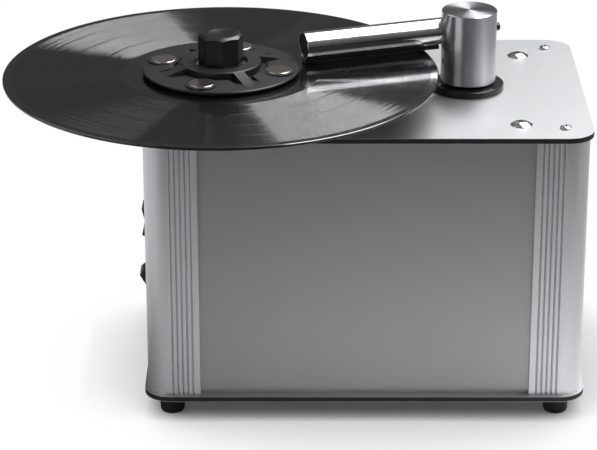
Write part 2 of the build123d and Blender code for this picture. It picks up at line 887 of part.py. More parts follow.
with BuildPart() as clamp_plate:
    with BuildSketch(upright(spindle)) as clamp_half:
        low = clamp_z + clamp_underside
        with BuildLine():
            Polyline(
                (clamp_bore_radius, low),
                (seal_radius - seal_width - screw_clearance, low),
                (seal_radius - seal_width - screw_clearance, clamp_z + clamp_rim_low),
                (clamp_radius, clamp_z + clamp_rim_low),
                (clamp_radius, clamp_z + clamp_rim_high),
                (moat_radius, clamp_z + clamp_surface(moat_radius)),
                (moat_radius, clamp_z + moat_floor),
                (boss_radius, clamp_z + moat_floor),
                (boss_radius, clamp_z + boss_height),
                (boss_recess_radius, clamp_z + boss_height),
                (boss_recess_radius, clamp_z + boss_recess_floor),
                (clamp_bore_radius, clamp_z + boss_recess_floor),
                (clamp_bore_radius, low),
            )
        make_face()
        chamfer(clamp_half.vertices().group_by(Axis.X)[-1], length=clamp_rim_edge)
        chamfer(clamp_half.vertices().group_by(Axis.Y)[-1], length=boss_edge)
    revolve(axis=spindle_axis)
    # sloping gussets across the moat, each between two wedge-shaped pockets
    for x, y in around(gusset_angle, gusset_count):
        gusset_plane = Plane(
            origin=(spindle_x, spindle_y, 0), x_dir=(x, y, 0), z_dir=(y, -x, 0)
        )
        with BuildSketch(gusset_plane):
            with BuildLine():
                Polyline(
                    (boss_radius - gusset_root, clamp_z + moat_floor - gusset_foot),
                    (boss_radius - gusset_root, clamp_z + boss_height - gusset_drop),
                    (boss_radius + gusset_ledge, clamp_z + boss_height - gusset_drop),
                    (gusset_reach, clamp_z + clamp_surface(gusset_reach) - gusset_sink),
                    (gusset_reach, clamp_z + moat_floor - gusset_foot),
                    (boss_radius - gusset_root, clamp_z + moat_floor - gusset_foot),
                )
            make_face()
        extrude(amount=gusset_width / 2, both=True)
        for side in (-1, 1):
            with BuildSketch(gusset_plane.offset(side * (gusset_width + pocket_width) / 2)):
                with BuildLine():
                    Polyline(
                        (moat_radius - pocket_overlap, clamp_z + moat_floor + pocket_floor),
                        (gusset_reach, clamp_z + clamp_surface(gusset_reach)),
                        (gusset_reach, clamp_z + boss_height),
                        (moat_radius - pocket_overlap, clamp_z + boss_height),
                        (moat_radius - pocket_overlap, clamp_z + moat_floor + pocket_floor),
                    )
                make_face()
            extrude(amount=pocket_width / 2, both=True, mode=Mode.SUBTRACT)
    with BuildSketch(Plane.XY.offset(collar_top)):
        with Locations(*magnet_places):
            Circle(collar_radius)
    extrude(amount=-collar_height - collar_root)
    with BuildSketch(Plane.XY.offset(magnet_top - magnet_thickness)):
        with Locations(*magnet_places):
            Circle(magnet_radius + magnet_clearance)
    extrude(amount=magnet_thickness, mode=Mode.SUBTRACT)
save(clamp_plate.part, "clamp_plate")

with BuildPart() as clamp_seal:
    with BuildSketch(upright(spindle)) as seal_half:
        with Locations((seal_radius - seal_width / 2, clamp_z + clamp_rim_low - seal_height / 2)):
            Rectangle(seal_width, seal_height)
        chamfer(seal_half.vertices().group_by(Axis.Y)[0], length=seal_edge)
    revolve(axis=spindle_axis)
save(clamp_seal.part, "clamp_seal")

with BuildPart() as clamp_magnets:
    with BuildSketch(Plane.XY.offset(magnet_top)):
        with Locations(*magnet_places):
            Circle(magnet_radius)
    extrude(amount=-magnet_thickness)
    chamfer(clamp_magnets.edges().group_by(Axis.Z)[-1], length=magnet_edge)
save(clamp_magnets.part, "clamp_magnets")

with BuildPart() as clamp_washer:
    with BuildSketch(at(spindle, clamp_z + boss_recess_floor)):
        Circle(boss_recess_radius - washer_clearance)
        Circle(clamp_bore_radius, mode=Mode.SUBTRACT)
    extrude(amount=washer_thickness)
save(clamp_washer.part, "clamp_washer")

with BuildPart() as clamp_knob:
    knob_base = clamp_z + boss_recess_floor + washer_thickness
    with BuildSketch(at(spindle, knob_base)):
        RegularPolygon(knob_corner_radius, 8, rotation=knob_turn)
    extrude(amount=clamp_z + knob_top - knob_base)
    with BuildSketch(upright(spindle)):
        top = clamp_z + knob_top
        slope = knob_chamfer_drop / (knob_corner_radius - knob_flat_radius)
        outside = knob_corner_radius + screw_clearance
        slope_low = top - slope * (outside - knob_flat_radius)
        with BuildLine():
            Polyline(
                (0, knob_base),
                (outside, knob_base),
                (outside, slope_low),
                (knob_flat_radius, top),
                (knob_dish_radius, top),
            )
            dish_curve = (knob_dish_radius**2 + knob_dish_depth**2) / (2 * knob_dish_depth)
            RadiusArc((knob_dish_radius, top), (0, top - knob_dish_depth), dish_curve)
            Line((0, top - knob_dish_depth), (0, knob_base))
        make_face()
    revolve(axis=spindle_axis, mode=Mode.INTERSECT)
    with BuildSketch(at(spindle, knob_base)):
        Circle(clamp_bore_radius)
    extrude(amount=record_top + spindle_rise + knob_bore_clearance - knob_base, mode=Mode.SUBTRACT)
save(clamp_knob.part, "clamp_knob")


# ---- Suction arm ---------------------------------------------------------------------------------
pivot_axis = Axis((pivot_x, pivot_y, 0), (0, 0, 1))


def along_arm(z, distance, offset=0):
    """A plane across the arm at a height and a distance from the pivot, its origin moved rearward."""
    across = (-arm_direction[1], arm_direction[0])
    x = pivot_x + distance * arm_direction[0] - offset * across[0]
    y = pivot_y + distance * arm_direction[1] - offset * across[1]
    return Plane(origin=(x, y, z), x_dir=(across[0], across[1], 0), z_dir=arm_direction)


with BuildPart() as arm_base_ring:
    with BuildSketch(at(pivot, deck_z)):
        Circle(ring_radius)
        Circle(ring_bore_radius, mode=Mode.SUBTRACT)
    extrude(amount=ring_height)
    outer_edge = arm_base_ring.edges().group_by(Axis.Z)[-1].sort_by(SortBy.RADIUS)[-1]
    chamfer(outer_edge, length=ring_edge)
    with BuildSketch(Plane.XY.offset(deck_z)):
        with Locations(*ring_screws_at):
            Circle(ring_screw_shank + screw_clearance)
    extrude(amount=ring_height, mode=Mode.SUBTRACT)
    with Locations(*[(x, y, ring_top - ring_screw_head / 2) for x, y in ring_screws_at]):
        Cone(
            ring_screw_shank + screw_clearance,
            ring_screw_head + screw_clearance,
            ring_screw_head,
            mode=Mode.SUBTRACT,
        )
save(arm_base_ring.part, "arm_base_ring")

with BuildPart() as ring_screw:
    with BuildSketch(Plane.XZ):
        ring_screw_length = ring_height + plate_thickness + socket_flange_thickness
        with BuildLine():
            Polyline(
                (0, -ring_screw_length),
                (ring_screw_shank, -ring_screw_length),
                (ring_screw_shank, -ring_screw_head),
                (ring_screw_head, 0),
                (0, 0),
                (0, -ring_screw_length),
            )
        make_face()
    revolve(axis=Axis.Z)
    with BuildSketch():
        RegularPolygon(ring_screw_socket, 6)
    extrude(amount=-ring_screw_socket_depth, mode=Mode.SUBTRACT)

with BuildPart() as ring_screws:
    with spot(ring_screws_at, ring_top - screw_clearance):
        add(ring_screw.part)
save(ring_screws.part, "ring_screws")

with BuildPart() as arm_socket:
    with BuildSketch(at(pivot, ceiling_z)):
        Circle(socket_flange_radius)
    extrude(amount=-socket_flange_thickness)
    with BuildSketch(at(pivot, deck_z)):
        Circle(socket_radius)
    extrude(amount=-socket_depth)
    with BuildSketch(at(pivot, deck_z)):
        Circle(bush_radius + running_clearance)
    extrude(amount=-socket_depth, mode=Mode.SUBTRACT)
    with BuildSketch(Plane.XY.offset(ceiling_z)):
        with Locations(*ring_screws_at):
            Circle(ring_screw_shank + screw_clearance)
    extrude(amount=-socket_flange_thickness, mode=Mode.SUBTRACT)
save(arm_socket.part, "arm_socket")

with BuildPart() as swivel_bush:
    with BuildSketch(upright(pivot)):
        flange_bottom = deck_z + axial_clearance
        flange_top = flange_bottom + bush_flange_height
        guide = pillar_radius + running_clearance
        with BuildLine():
            Polyline(
                (guide, socket_bottom),
                (bush_radius, socket_bottom),
                (bush_radius, flange_bottom),
                (bush_flange_radius, flange_bottom),
                (bush_flange_radius, flange_top),
                (spring_chamber_radius, flange_top),
                (spring_chamber_radius, spring_floor),
                (guide, spring_floor),
                (guide, socket_bottom),
            )
        make_face()
    revolve(axis=pivot_axis)
save(swivel_bush.part, "swivel_bush")

spring_seat = spring_wire / 2 + spring_seat_gap
spring_height = block_bottom_z - spring_floor - 2 * spring_seat - spring_top_gap
spring_mean = (pillar_radius + spring_chamber_radius) / 2
with BuildPart() as lift_spring:
    with BuildLine(at(pivot, spring_floor + spring_seat)):
        coil = Helix(pitch=spring_height / spring_turns, height=spring_height, radius=spring_mean)
    with BuildSketch(Plane(coil @ 0, z_dir=coil % 0)):
        RegularPolygon(spring_wire / 2, 6)
    sweep(is_frenet=True)
save(lift_spring.part, "lift_spring")

with BuildPart() as arm_pillar:
    with BuildSketch(at(pivot, pillar_top)):
        Circle(pillar_radius)
        Circle(pillar_bore_radius, mode=Mode.SUBTRACT)
    extrude(amount=deck_z - pillar_drop - pillar_top)
save(arm_pillar.part, "arm_pillar")

with BuildPart() as arm_block:
    with BuildSketch(at(pivot, block_bottom_z)):
        Circle(block_radius)
    extrude(amount=block_top - block_bottom)
    chamfer(arm_block.edges().filter_by(GeomType.CIRCLE), length=block_edge)
    with BuildSketch(at(pivot, block_bottom_z)):
        Circle(pillar_radius + screw_clearance)
    extrude(amount=pillar_top - block_bottom_z, mode=Mode.SUBTRACT)
    with BuildSketch(at(pivot, pillar_top)):
        Circle(pillar_bore_radius)
    extrude(amount=arm_axis_z - pillar_top, mode=Mode.SUBTRACT)
    with BuildSketch(along_arm(arm_axis_z, 0, block_passage_offset)):
        Circle(pillar_bore_radius)
    extrude(amount=block_radius, mode=Mode.SUBTRACT)
    with BuildSketch(along_arm(deck_z + arm_screw_height, -block_radius)):
        Circle(arm_screw_radius + screw_clearance)
    extrude(amount=block_radius - pillar_bore_radius, mode=Mode.SUBTRACT)
    with BuildSketch(along_arm(deck_z + set_screw_height, pillar_radius)):
        Circle(set_screw_radius + screw_clearance)
    extrude(amount=block_radius, mode=Mode.SUBTRACT)
save(arm_block.part, "arm_block")

with BuildPart() as suction_tube:
    with BuildSketch(along_arm(arm_axis_z, 0, tube_offset)):
        Circle(tube_radius)
        Circle(tube_radius - tube_wall, mode=Mode.SUBTRACT)
    extrude(amount=tube_reach)
    tube_ends = suction_tube.edges().filter_by(GeomType.CIRCLE)
    tube_ends = tube_ends.sort_by(Axis((pivot_x, pivot_y, arm_axis_z), arm_direction))
    chamfer(tube_ends[-2:], length=tube_edge)
    with BuildSketch(at(pivot, arm_axis_z - 2 * tube_radius)):
        Circle(block_radius + screw_clearance)
    extrude(amount=4 * tube_radius, mode=Mode.SUBTRACT)
    slot_length = tube_reach - tube_slot_end - felt_near_block
    with BuildSketch(along_arm(arm_axis_z - tube_radius, felt_near_block, tube_offset)):
        Rectangle(tube_slot_width, 4 * tube_wall)
    extrude(amount=slot_length, mode=Mode.SUBTRACT)
save(suction_tube.part, "suction_tube")

with BuildPart() as tube_cap:
    with BuildSketch(along_arm(arm_axis_z, tube_reach - cap_recess, tube_offset)):
        Circle(tube_radius - tube_wall - screw_clearance)
    extrude(amount=-cap_thickness)
save(tube_cap.part, "tube_cap")

with BuildPart() as felt_strips:
    felt_top = arm_axis_z - tube_radius + felt_rise
    felt_middle = (felt_top + felt_bottom) / 2
    with BuildSketch(along_arm(felt_middle, felt_near_block, tube_offset)):
        with GridLocations(2 * felt_gap + felt_width, 0, 2, 1):
            Rectangle(felt_width, felt_top - felt_bottom)
    extrude(amount=tube_reach - felt_near_block)
    with BuildSketch(along_arm(arm_axis_z, felt_near_block, tube_offset)):
        Circle(tube_radius + screw_clearance)
    extrude(amount=tube_reach - felt_near_block, mode=Mode.SUBTRACT)
save(felt_strips.part, "felt_strips")

with BuildPart() as arm_screw:
    with BuildSketch(along_arm(deck_z + arm_screw_height, -block_radius - arm_screw_proud)):
        Circle(arm_screw_radius)
    extrude(amount=arm_screw_proud + block_radius - pillar_bore_radius - arm_screw_stop)
    screw_ends = arm_screw.edges().filter_by(GeomType.CIRCLE)
    screw_ends = screw_ends.sort_by(Axis((pivot_x, pivot_y, arm_axis_z), arm_direction))
    chamfer(screw_ends[0], length=arm_screw_edge)
save(arm_screw.part, "arm_screw")

with BuildPart() as pillar_set_screw:
    with BuildSketch(along_arm(deck_z + set_screw_height, pillar_radius + set_screw_gap)):
        Circle(set_screw_radius)
    extrude(amount=block_radius - set_screw_sink - pillar_radius - set_screw_gap)
    with BuildSketch(along_arm(deck_z + set_screw_height, block_radius - set_screw_sink)):
        RegularPolygon(set_screw_radius / 2, 6)
    extrude(amount=-set_screw_socket_depth, mode=Mode.SUBTRACT)
save(pillar_set_screw.part, "pillar_set_screw")


# ---- Waste tank, hung from the top plate by two columns ------------------------------------------
tank_middle = ((tank_left + tank_right) / 2, (tank_front + tank_rear) / 2)
tank_size = (tank_right - tank_left, tank_rear - tank_front)

with BuildPart() as waste_tank:
    with BuildSketch(at(tank_middle, tank_z)):
        RectangleRounded(tank_size[0], tank_size[1], tank_corner)
    extrude(amount=tank_height)
    fillet(waste_tank.edges().group_by(Axis.Z)[-1], radius=tank_edge)
    with BuildSketch(at(pivot, tank_top)):
        Circle(tank_collar_radius)
    extrude(amount=tank_collar_height)
    port = (tank_left, tank_port_y, tank_port_z)
    with BuildSketch(Plane(port, x_dir=(0, 1, 0), z_dir=(-1, 0, 0))):
        Circle(eye_radius)
    extrude(amount=tank_port_length)
    for (x, y), wall_y in zip(large_screws, (tank_front, tank_rear)):
        with BuildSketch(at((x, y), ceiling_z)):
            Circle(tank_column_radius)
        extrude(amount=-(ceiling_z - tank_top + tank_column_root))
        with BuildSketch(at((x, (y + wall_y) / 2), tank_top)):
            Rectangle(tank_web_width, abs(y - wall_y) + tank_wall)
        extrude(amount=-tank_column_root)
    with BuildSketch(at(tank_middle, tank_z + tank_wall)):
        inner = [length - 2 * tank_wall for length in tank_size]
        RectangleRounded(inner[0], inner[1], tank_corner - tank_wall)
    extrude(amount=tank_height - 2 * tank_wall, mode=Mode.SUBTRACT)
    with BuildSketch(at(pivot, tank_top + tank_collar_height)):
        Circle(pillar_radius + pillar_tank_clearance)
    extrude(amount=-tank_collar_height - tank_wall, mode=Mode.SUBTRACT)
    with BuildSketch(Plane(port, x_dir=(0, 1, 0), z_dir=(-1, 0, 0)).offset(tank_port_length)):
        Circle(eye_radius - hose_wall)
    extrude(amount=-tank_port_length - tank_wall, mode=Mode.SUBTRACT)
    with BuildSketch(Plane((drain_x, tank_rear, drain_z), x_dir=(1, 0, 0), z_dir=(0, -1, 0))):
        Circle(drain_radius + screw_clearance)
    extrude(amount=tank_wall, mode=Mode.SUBTRACT)
    with BuildSketch(Plane.XY.offset(ceiling_z)):
        with Locations(*large_screws):
            Circle(hole_radius)
    extrude(amount=-screw_length + plate_thickness - axial_clearance, mode=Mode.SUBTRACT)
save(waste_tank.part, "waste_tank")


# ---- Vacuum motor and its hose -------------------------------------------------------------------
vacuum = (vacuum_x, tank_port_y)

with BuildPart() as vacuum_ring:
    with BuildSketch(at(vacuum, post_z)):
        Circle(vacuum_ring_outer)
        Circle(vacuum_ring_inner, mode=Mode.SUBTRACT)
    extrude(amount=vacuum_ring_height)
save(vacuum_ring.part, "vacuum_ring")

with BuildPart() as vacuum_motor:
    with BuildSketch(at(vacuum, stator_z)):
        Circle(stator_radius)
    extrude(amount=stator_height)
    fillet(vacuum_motor.edges().group_by(Axis.Z)[0], radius=stator_edge)
    with BuildSketch(at(vacuum, fan_case_z)):
        Circle(fan_shaft_radius + running_clearance)
    extrude(amount=-fan_shaft_depth - fan_gap, mode=Mode.SUBTRACT)
save(vacuum_motor.part, "vacuum_motor")

with BuildPart() as fan_case:
    with BuildSketch(at(vacuum, fan_case_z)):
        Circle(fan_case_radius)
    extrude(amount=fan_case_height)
    fillet(fan_case.edges().group_by(Axis.Z)[-1], radius=fan_case_edge)
    with BuildSketch(at(vacuum, fan_case_z + fan_case_height)):
        Circle(eye_radius)
    extrude(amount=eye_rise)
    with BuildSketch(at(vacuum, fan_case_z + fan_case_wall)):
        Circle(fan_case_radius - fan_case_wall)
    extrude(amount=fan_case_height - 2 * fan_case_wall, mode=Mode.SUBTRACT)
    with BuildSketch(at(vacuum, eye_z)):
        Circle(eye_radius - hose_wall)
    extrude(amount=-eye_rise - fan_case_wall, mode=Mode.SUBTRACT)
    with BuildSketch(at(vacuum, fan_case_z)):
        Circle(fan_shaft_radius + 2 * running_clearance)
    extrude(amount=fan_case_wall, mode=Mode.SUBTRACT)
    with BuildSketch(at(vacuum, fan_case_z + (fan_case_height - fan_outlet_height) / 2)):
        with PolarLocations(fan_case_radius, fan_blade_count):
            Rectangle(fan_outlet_cut, fan_outlet_width)
    extrude(amount=fan_outlet_height, mode=Mode.SUBTRACT)
save(fan_case.part, "fan_case")

fan_z = fan_case_z + fan_case_wall + fan_gap
fan_height = fan_case_height - 2 * (fan_case_wall + fan_gap)
with BuildPart() as vacuum_fan:
    with BuildSketch(at(vacuum, fan_z)):
        Circle(fan_radius)
    extrude(amount=fan_blade_thickness)
    with BuildSketch(at(vacuum, fan_z)):
        with PolarLocations(fan_blade_circle, fan_blade_count):
            Rectangle(fan_blade_length, fan_blade_thickness, rotation=fan_blade_angle)
    extrude(amount=fan_height - fan_blade_thickness / 2)
    with BuildSketch(at(vacuum, fan_z + fan_height)):
        Circle(fan_radius)
        Circle(eye_radius - hose_wall, mode=Mode.SUBTRACT)
    extrude(amount=-fan_blade_thickness)
    with BuildSketch(at(vacuum, fan_z + fan_height / 2)):
        Circle(fan_shaft_radius)
    extrude(amount=-(fan_height / 2 + fan_gap + fan_case_wall + fan_shaft_depth))
save(vacuum_fan.part, "vacuum_fan")

with BuildPart() as suction_hose:
    hose_start = (vacuum_x, tank_port_y, eye_z - hose_grip)
    hose_turn = (vacuum_x, tank_port_y, tank_port_z)
    hose_end = (tank_left - tank_port_length + hose_grip, tank_port_y, tank_port_z)
    with BuildLine() as hose_path:
        FilletPolyline(hose_start, hose_turn, hose_end, radius=elbow_radius)
    with BuildSketch(at(vacuum, eye_z - hose_grip)):
        Circle(eye_radius + screw_clearance + hose_wall)
        Circle(eye_radius + screw_clearance, mode=Mode.SUBTRACT)
    sweep(path=hose_path.wires()[0])
save(suction_hose.part, "suction_hose")


# ---- Drain elbow, level hose and its clips -------------------------------------------------------
hose_y = panel_face_y + drain_behind_panel
hose_foot_z = drain_z + elbow_rise

with BuildPart() as drain_elbow:
    with BuildLine() as elbow_path:
        FilletPolyline(
            (drain_x, tank_rear - tank_wall, drain_z),
            (drain_x, hose_y, drain_z),
            (drain_x, hose_y, hose_foot_z),
            radius=hose_bend_radius,
        )
    drain_start = (drain_x, tank_rear - tank_wall, drain_z)
    with BuildSketch(Plane(drain_start, x_dir=(1, 0, 0), z_dir=(0, 1, 0))):
        Circle(drain_radius)
        Circle(drain_bore_radius, mode=Mode.SUBTRACT)
    sweep(path=elbow_path.wires()[0])
    with BuildSketch(at((drain_x, hose_y), hose_foot_z)):
        Circle(level_hose_bore - screw_clearance)
        Circle(drain_bore_radius, mode=Mode.SUBTRACT)
    extrude(amount=elbow_spigot)
save(drain_elbow.part, "drain_elbow")

with BuildPart() as level_hose:
    with BuildSketch(at((drain_x, hose_y), hose_foot_z)):
        Circle(level_hose_radius)
        Circle(level_hose_bore, mode=Mode.SUBTRACT)
    extrude(amount=level_hose_top)
save(level_hose.part, "level_hose")

clip_heights = [hose_foot_z + level_hose_top / 2 + side * clip_spread / 2 for side in (-1, 1)]
with BuildPart() as hose_clips:
    for z in clip_heights:
        with BuildSketch(at((drain_x, panel_face_y), z - clip_width / 2)):
            with Locations((0, clip_thickness / 2)):
                Rectangle(clip_foot, clip_thickness)
            with Locations((0, drain_behind_panel / 2)):
                Rectangle(clip_width, drain_behind_panel)
            with Locations((0, drain_behind_panel)):
                Circle(level_hose_radius + screw_clearance + clip_thickness)
                Circle(level_hose_radius + screw_clearance, mode=Mode.SUBTRACT)
            with Locations((0, drain_behind_panel + level_hose_radius)):
                Rectangle(level_hose_radius, level_hose_radius, mode=Mode.SUBTRACT)
        extrude(amount=clip_width)
save(hose_clips.part, "hose_clips")


# ---- Rocker switches in the left panel -----------------------------------------------------------
rocker_arc_radius = hypot(rocker_tip_height, rocker_tip_rise)
well_half_height = rocker_arc_radius + rocker_clearance
well_half_width = rocker_width / 2 + rocker_clearance
pin_half_length = well_half_width + rocker_pin_length


def rocker_plane(z, tilt=0.0):
    """Section plane of a rocker: local x outward, local y upward, turned about its pin."""
    x_dir = (-cos(radians(tilt)), 0, -sin(radians(tilt)))
    return Plane((-panel_face_x, switch_y, z), x_dir=x_dir, z_dir=(0, 1, 0))


def on_rocker_arc(angle):
    """A point on the arc that the rocker's ends run along in the well."""
    return rocker_arc_radius * cos(radians(angle)), rocker_arc_radius * sin(radians(angle))


for switch, centre_z, tilt in (
    ("direction", direction_switch_z, 0.0),
    ("vacuum", vacuum_switch_z, rocker_tilt),
):
    face = Plane((-panel_face_x, switch_y, centre_z), x_dir=(0, -1, 0), z_dir=(-1, 0, 0))
    with BuildPart() as switch_body:
        with BuildSketch(face):
            RectangleRounded(bezel_width, bezel_height, bezel_corner)
        extrude(amount=bezel_thickness)
        chamfer(switch_body.edges().group_by(Axis.X)[0], length=bezel_edge)
        with BuildSketch(face):
            Rectangle(switch_body_width, switch_body_height)
        extrude(amount=-switch_body_depth)
        with BuildSketch(face.offset(bezel_thickness)):
            Rectangle(2 * well_half_width, 2 * well_half_height)
        extrude(amount=-bezel_thickness - rocker_well_depth, mode=Mode.SUBTRACT)
        with BuildSketch(rocker_plane(centre_z)):
            Circle(rocker_pin_radius + running_clearance)
        extrude(amount=pin_half_length + rocker_pin_gap, both=True, mode=Mode.SUBTRACT)
        with BuildSketch(face.offset(-switch_body_depth)):
            with GridLocations(0, switch_terminal_pitch, 1, 3):
                Rectangle(switch_terminal_width, terminal_thickness)
        extrude(amount=-switch_terminal_length)
    save(switch_body.part, f"{switch}_switch_body")

    with BuildPart() as rocker:
        with BuildSketch(rocker_plane(centre_z, tilt)) as rocker_side:
            with BuildLine():
                Polyline(
                    (rocker_tip_rise, rocker_tip_height),
                    (rocker_valley_rise, 0),
                    (rocker_tip_rise, -rocker_tip_height),
                )
                middle_rise, middle_height = on_rocker_arc(rocker_arc_middle)
                low, low_height = on_rocker_arc(rocker_arc_end)
                for side in (1, -1):
                    ThreePointArc(
                        (rocker_tip_rise, side * rocker_tip_height),
                        (middle_rise, side * middle_height),
                        (low, side * low_height),
                    )
                Polyline(
                    (low, low_height),
                    (low, rocker_foot_half),
                    (low - rocker_foot_drop, rocker_foot_tip),
                    (low - rocker_foot_drop, -rocker_foot_tip),
                    (low, -rocker_foot_half),
                    (low, -low_height),
                )
            make_face()
        extrude(amount=rocker_width / 2, both=True)
        with BuildSketch(rocker_plane(centre_z)):
            Circle(rocker_pin_radius)
        extrude(amount=pin_half_length, both=True)
    save(rocker.part, f"{switch}_rocker")


# ---- Mains inlet in the rear panel ---------------------------------------------------------------
def inlet_plane(out=0.0):
    """The rear panel's outer face at the inlet, moved outward."""
    return Plane((inlet_x, panel_face_y + out, inlet_z), x_dir=(-1, 0, 0), z_dir=(0, 1, 0))


inlet_pins_at = [
    (-inlet_pin_spread / 2, -inlet_pin_offset),
    (inlet_pin_spread / 2, -inlet_pin_offset),
    (0, inlet_pin_offset),
]
inlet_screws_at = [(-inlet_screw_spread / 2, 0), (inlet_screw_spread / 2, 0)]

with BuildPart() as mains_inlet:
    with BuildSketch(inlet_plane()):
        RectangleRounded(inlet_flange_width, inlet_flange_height, inlet_flange_corner)
    extrude(amount=inlet_flange_thickness)
    chamfer(mains_inlet.edges().group_by(Axis.Y)[-1], length=inlet_flange_edge)
    with BuildSketch(inlet_plane()):
        Rectangle(inlet_body_width, inlet_body_height)
    extrude(amount=-inlet_body_depth)
    with BuildSketch(inlet_plane(inlet_flange_thickness)) as cavity:
        Rectangle(inlet_cavity_width, inlet_cavity_height)
        chamfer(cavity.vertices().group_by(Axis.Y)[-1], length=inlet_cavity_chamfer)
    extrude(amount=-inlet_cavity_depth, mode=Mode.SUBTRACT)
    with BuildSketch(inlet_plane(inlet_flange_thickness)):
        with Locations(*inlet_screws_at):
            Circle(inlet_screw_radius + screw_clearance)
    extrude(amount=-inlet_flange_thickness, mode=Mode.SUBTRACT)
    with BuildSketch(inlet_plane(-inlet_body_depth)):
        with Locations(*inlet_pins_at):
            pin_hole = (inlet_pin_thickness + 2 * screw_clearance, inlet_pin_width + 2 * screw_clearance)
            Rectangle(pin_hole[0], pin_hole[1])
    extrude(amount=inlet_body_depth, mode=Mode.SUBTRACT)
save(mains_inlet.part, "mains_inlet")

with BuildPart() as inlet_pins:
    pin_start = inlet_flange_thickness - inlet_cavity_depth + inlet_pin_length
    with BuildSketch(inlet_plane(pin_start)):
        with Locations(*inlet_pins_at):
            Rectangle(inlet_pin_thickness, inlet_pin_width)
    extrude(amount=-(pin_start + inlet_body_depth + inlet_pin_tail))
    chamfer(inlet_pins.edges().group_by(Axis.Y)[-1], length=inlet_pin_edge)
save(inlet_pins.part, "inlet_pins")

with BuildPart() as inlet_screws:
    with BuildSketch(inlet_plane(inlet_flange_thickness)):
        with Locations(*inlet_screws_at):
            Circle(inlet_screw_head)
    extrude(amount=inlet_screw_head_height)
    chamfer(inlet_screws.edges().group_by(Axis.Y)[-1], length=inlet_screw_edge)
    with BuildSketch(inlet_plane(inlet_flange_thickness)):
        with Locations(*inlet_screws_at):
            Circle(inlet_screw_radius)
    extrude(amount=-inlet_flange_thickness - panel_thickness - inlet_screw_spare)
save(inlet_screws.part, "inlet_screws")


# ---- Power board on its standoffs ----------------------------------------------------------------
board_z = post_z + standoff_height
standoffs = [
    (board_x + sx * (board_width / 2 - standoff_inset), board_y + sy * (board_depth / 2 - standoff_inset))
    for sx in (-1, 1)
    for sy in (-1, 1)
]

with BuildPart() as board_standoffs:
    with BuildSketch(Plane.XY.offset(post_z)):
        with Locations(*standoffs):
            RegularPolygon(standoff_radius, 6)
    extrude(amount=standoff_height)
save(board_standoffs.part, "board_standoffs")

with BuildPart() as power_board:
    with BuildSketch(at((board_x, board_y), board_z)):
        Rectangle(board_width, board_depth)
    extrude(amount=board_thickness)
    with BuildSketch(at((board_x + transformer_x, board_y), board_z + board_thickness)):
        Rectangle(transformer_width, transformer_depth)
    extrude(amount=transformer_height)
    with BuildSketch(at((board_x + capacitor_x, board_y), board_z + board_thickness)):
        with GridLocations(0, capacitor_spread, 1, 2):
            Circle(capacitor_radius)
    extrude(amount=capacitor_height)
    with BuildSketch(at((board_x + heatsink_x, board_y), board_z + board_thickness)):
        Rectangle(heatsink_thickness, heatsink_length)
    extrude(amount=heatsink_height)
save(power_board.part, "power_board")
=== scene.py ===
import json
import math

import bpy
from mathutils import Matrix, Vector


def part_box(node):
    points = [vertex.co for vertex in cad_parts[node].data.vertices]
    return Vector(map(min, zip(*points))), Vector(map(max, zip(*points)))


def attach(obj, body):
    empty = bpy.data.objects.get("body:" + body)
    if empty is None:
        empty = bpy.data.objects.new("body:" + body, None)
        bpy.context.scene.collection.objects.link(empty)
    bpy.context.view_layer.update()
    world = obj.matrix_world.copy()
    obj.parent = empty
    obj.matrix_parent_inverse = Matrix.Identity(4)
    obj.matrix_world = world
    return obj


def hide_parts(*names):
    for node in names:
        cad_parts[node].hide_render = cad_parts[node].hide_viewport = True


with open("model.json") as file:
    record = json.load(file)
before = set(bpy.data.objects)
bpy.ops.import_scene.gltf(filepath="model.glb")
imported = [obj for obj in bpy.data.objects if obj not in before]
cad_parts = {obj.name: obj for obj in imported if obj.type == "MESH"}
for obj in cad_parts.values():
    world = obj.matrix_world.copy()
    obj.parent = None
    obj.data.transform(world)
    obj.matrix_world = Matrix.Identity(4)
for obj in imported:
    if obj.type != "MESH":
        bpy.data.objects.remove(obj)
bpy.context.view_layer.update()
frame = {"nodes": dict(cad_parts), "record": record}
nodes = frame["nodes"]
posts = [name for name in nodes if name.startswith("corner_post")]
mm = 0.001
fullTurn = 2 * math.pi
mergeWithin = 0.00001  # metres


def middle(node):
    low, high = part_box(node)
    return (low + high) / 2


spindle = middle("record")
pivot = middle("arm_block")
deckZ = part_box("top_plate_skins")[1].z
recordLow, recordHigh = (corner.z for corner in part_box("record"))
print("frame loaded:", len(nodes), "nodes")


def linear(hexColour):
    parts = [int(hexColour[i:i + 2], 16) / 255 for i in (1, 3, 5)]
    return [c / 12.92 if c <= 0.04045 else ((c + 0.055) / 1.055) ** 2.4 for c in parts] + [1.0]


def addNode(tree, kind, settings=None, links=None):
    node = tree.nodes.new(kind)
    for key, value in (settings or {}).items():
        if isinstance(key, int) or key in node.inputs:
            node.inputs[key].default_value = value
        else:
            setattr(node, key, value)
    for key, source in (links or {}).items():
        tree.links.new(source, node.inputs[key])
    return node


def deselect():
    bpy.ops.object.select_all(action="DESELECT")


def wake(piece):  # only this object is selected and active
    deselect()
    piece.select_set(True)
    bpy.context.view_layer.objects.active = piece


def applyModifier(piece, kind, **settings):
    wake(piece)
    modifier = piece.modifiers.new(kind.lower(), kind)
    for key, value in settings.items():
        setattr(modifier, key, value)
    bpy.ops.object.modifier_apply(modifier=modifier.name)


# degrees up to which a face is shaded smoothly into the next, and the weight of large faces, where 50 is even
shading = {"smoothTo": 35, "weight": 80}


# rounds the sharp edges by a width in mm, and shades the rest smooth
def soften(piece, width, segments=2, angle=30):
    if width:
        applyModifier(piece, "BEVEL", width=width * mm, segments=segments, limit_method="ANGLE",
                      angle_limit=math.radians(angle))
    wake(piece)
    bpy.ops.object.shade_smooth_by_angle(angle=math.radians(shading["smoothTo"]))
    applyModifier(piece, "WEIGHTED_NORMAL", keep_sharp=True, weight=shading["weight"])


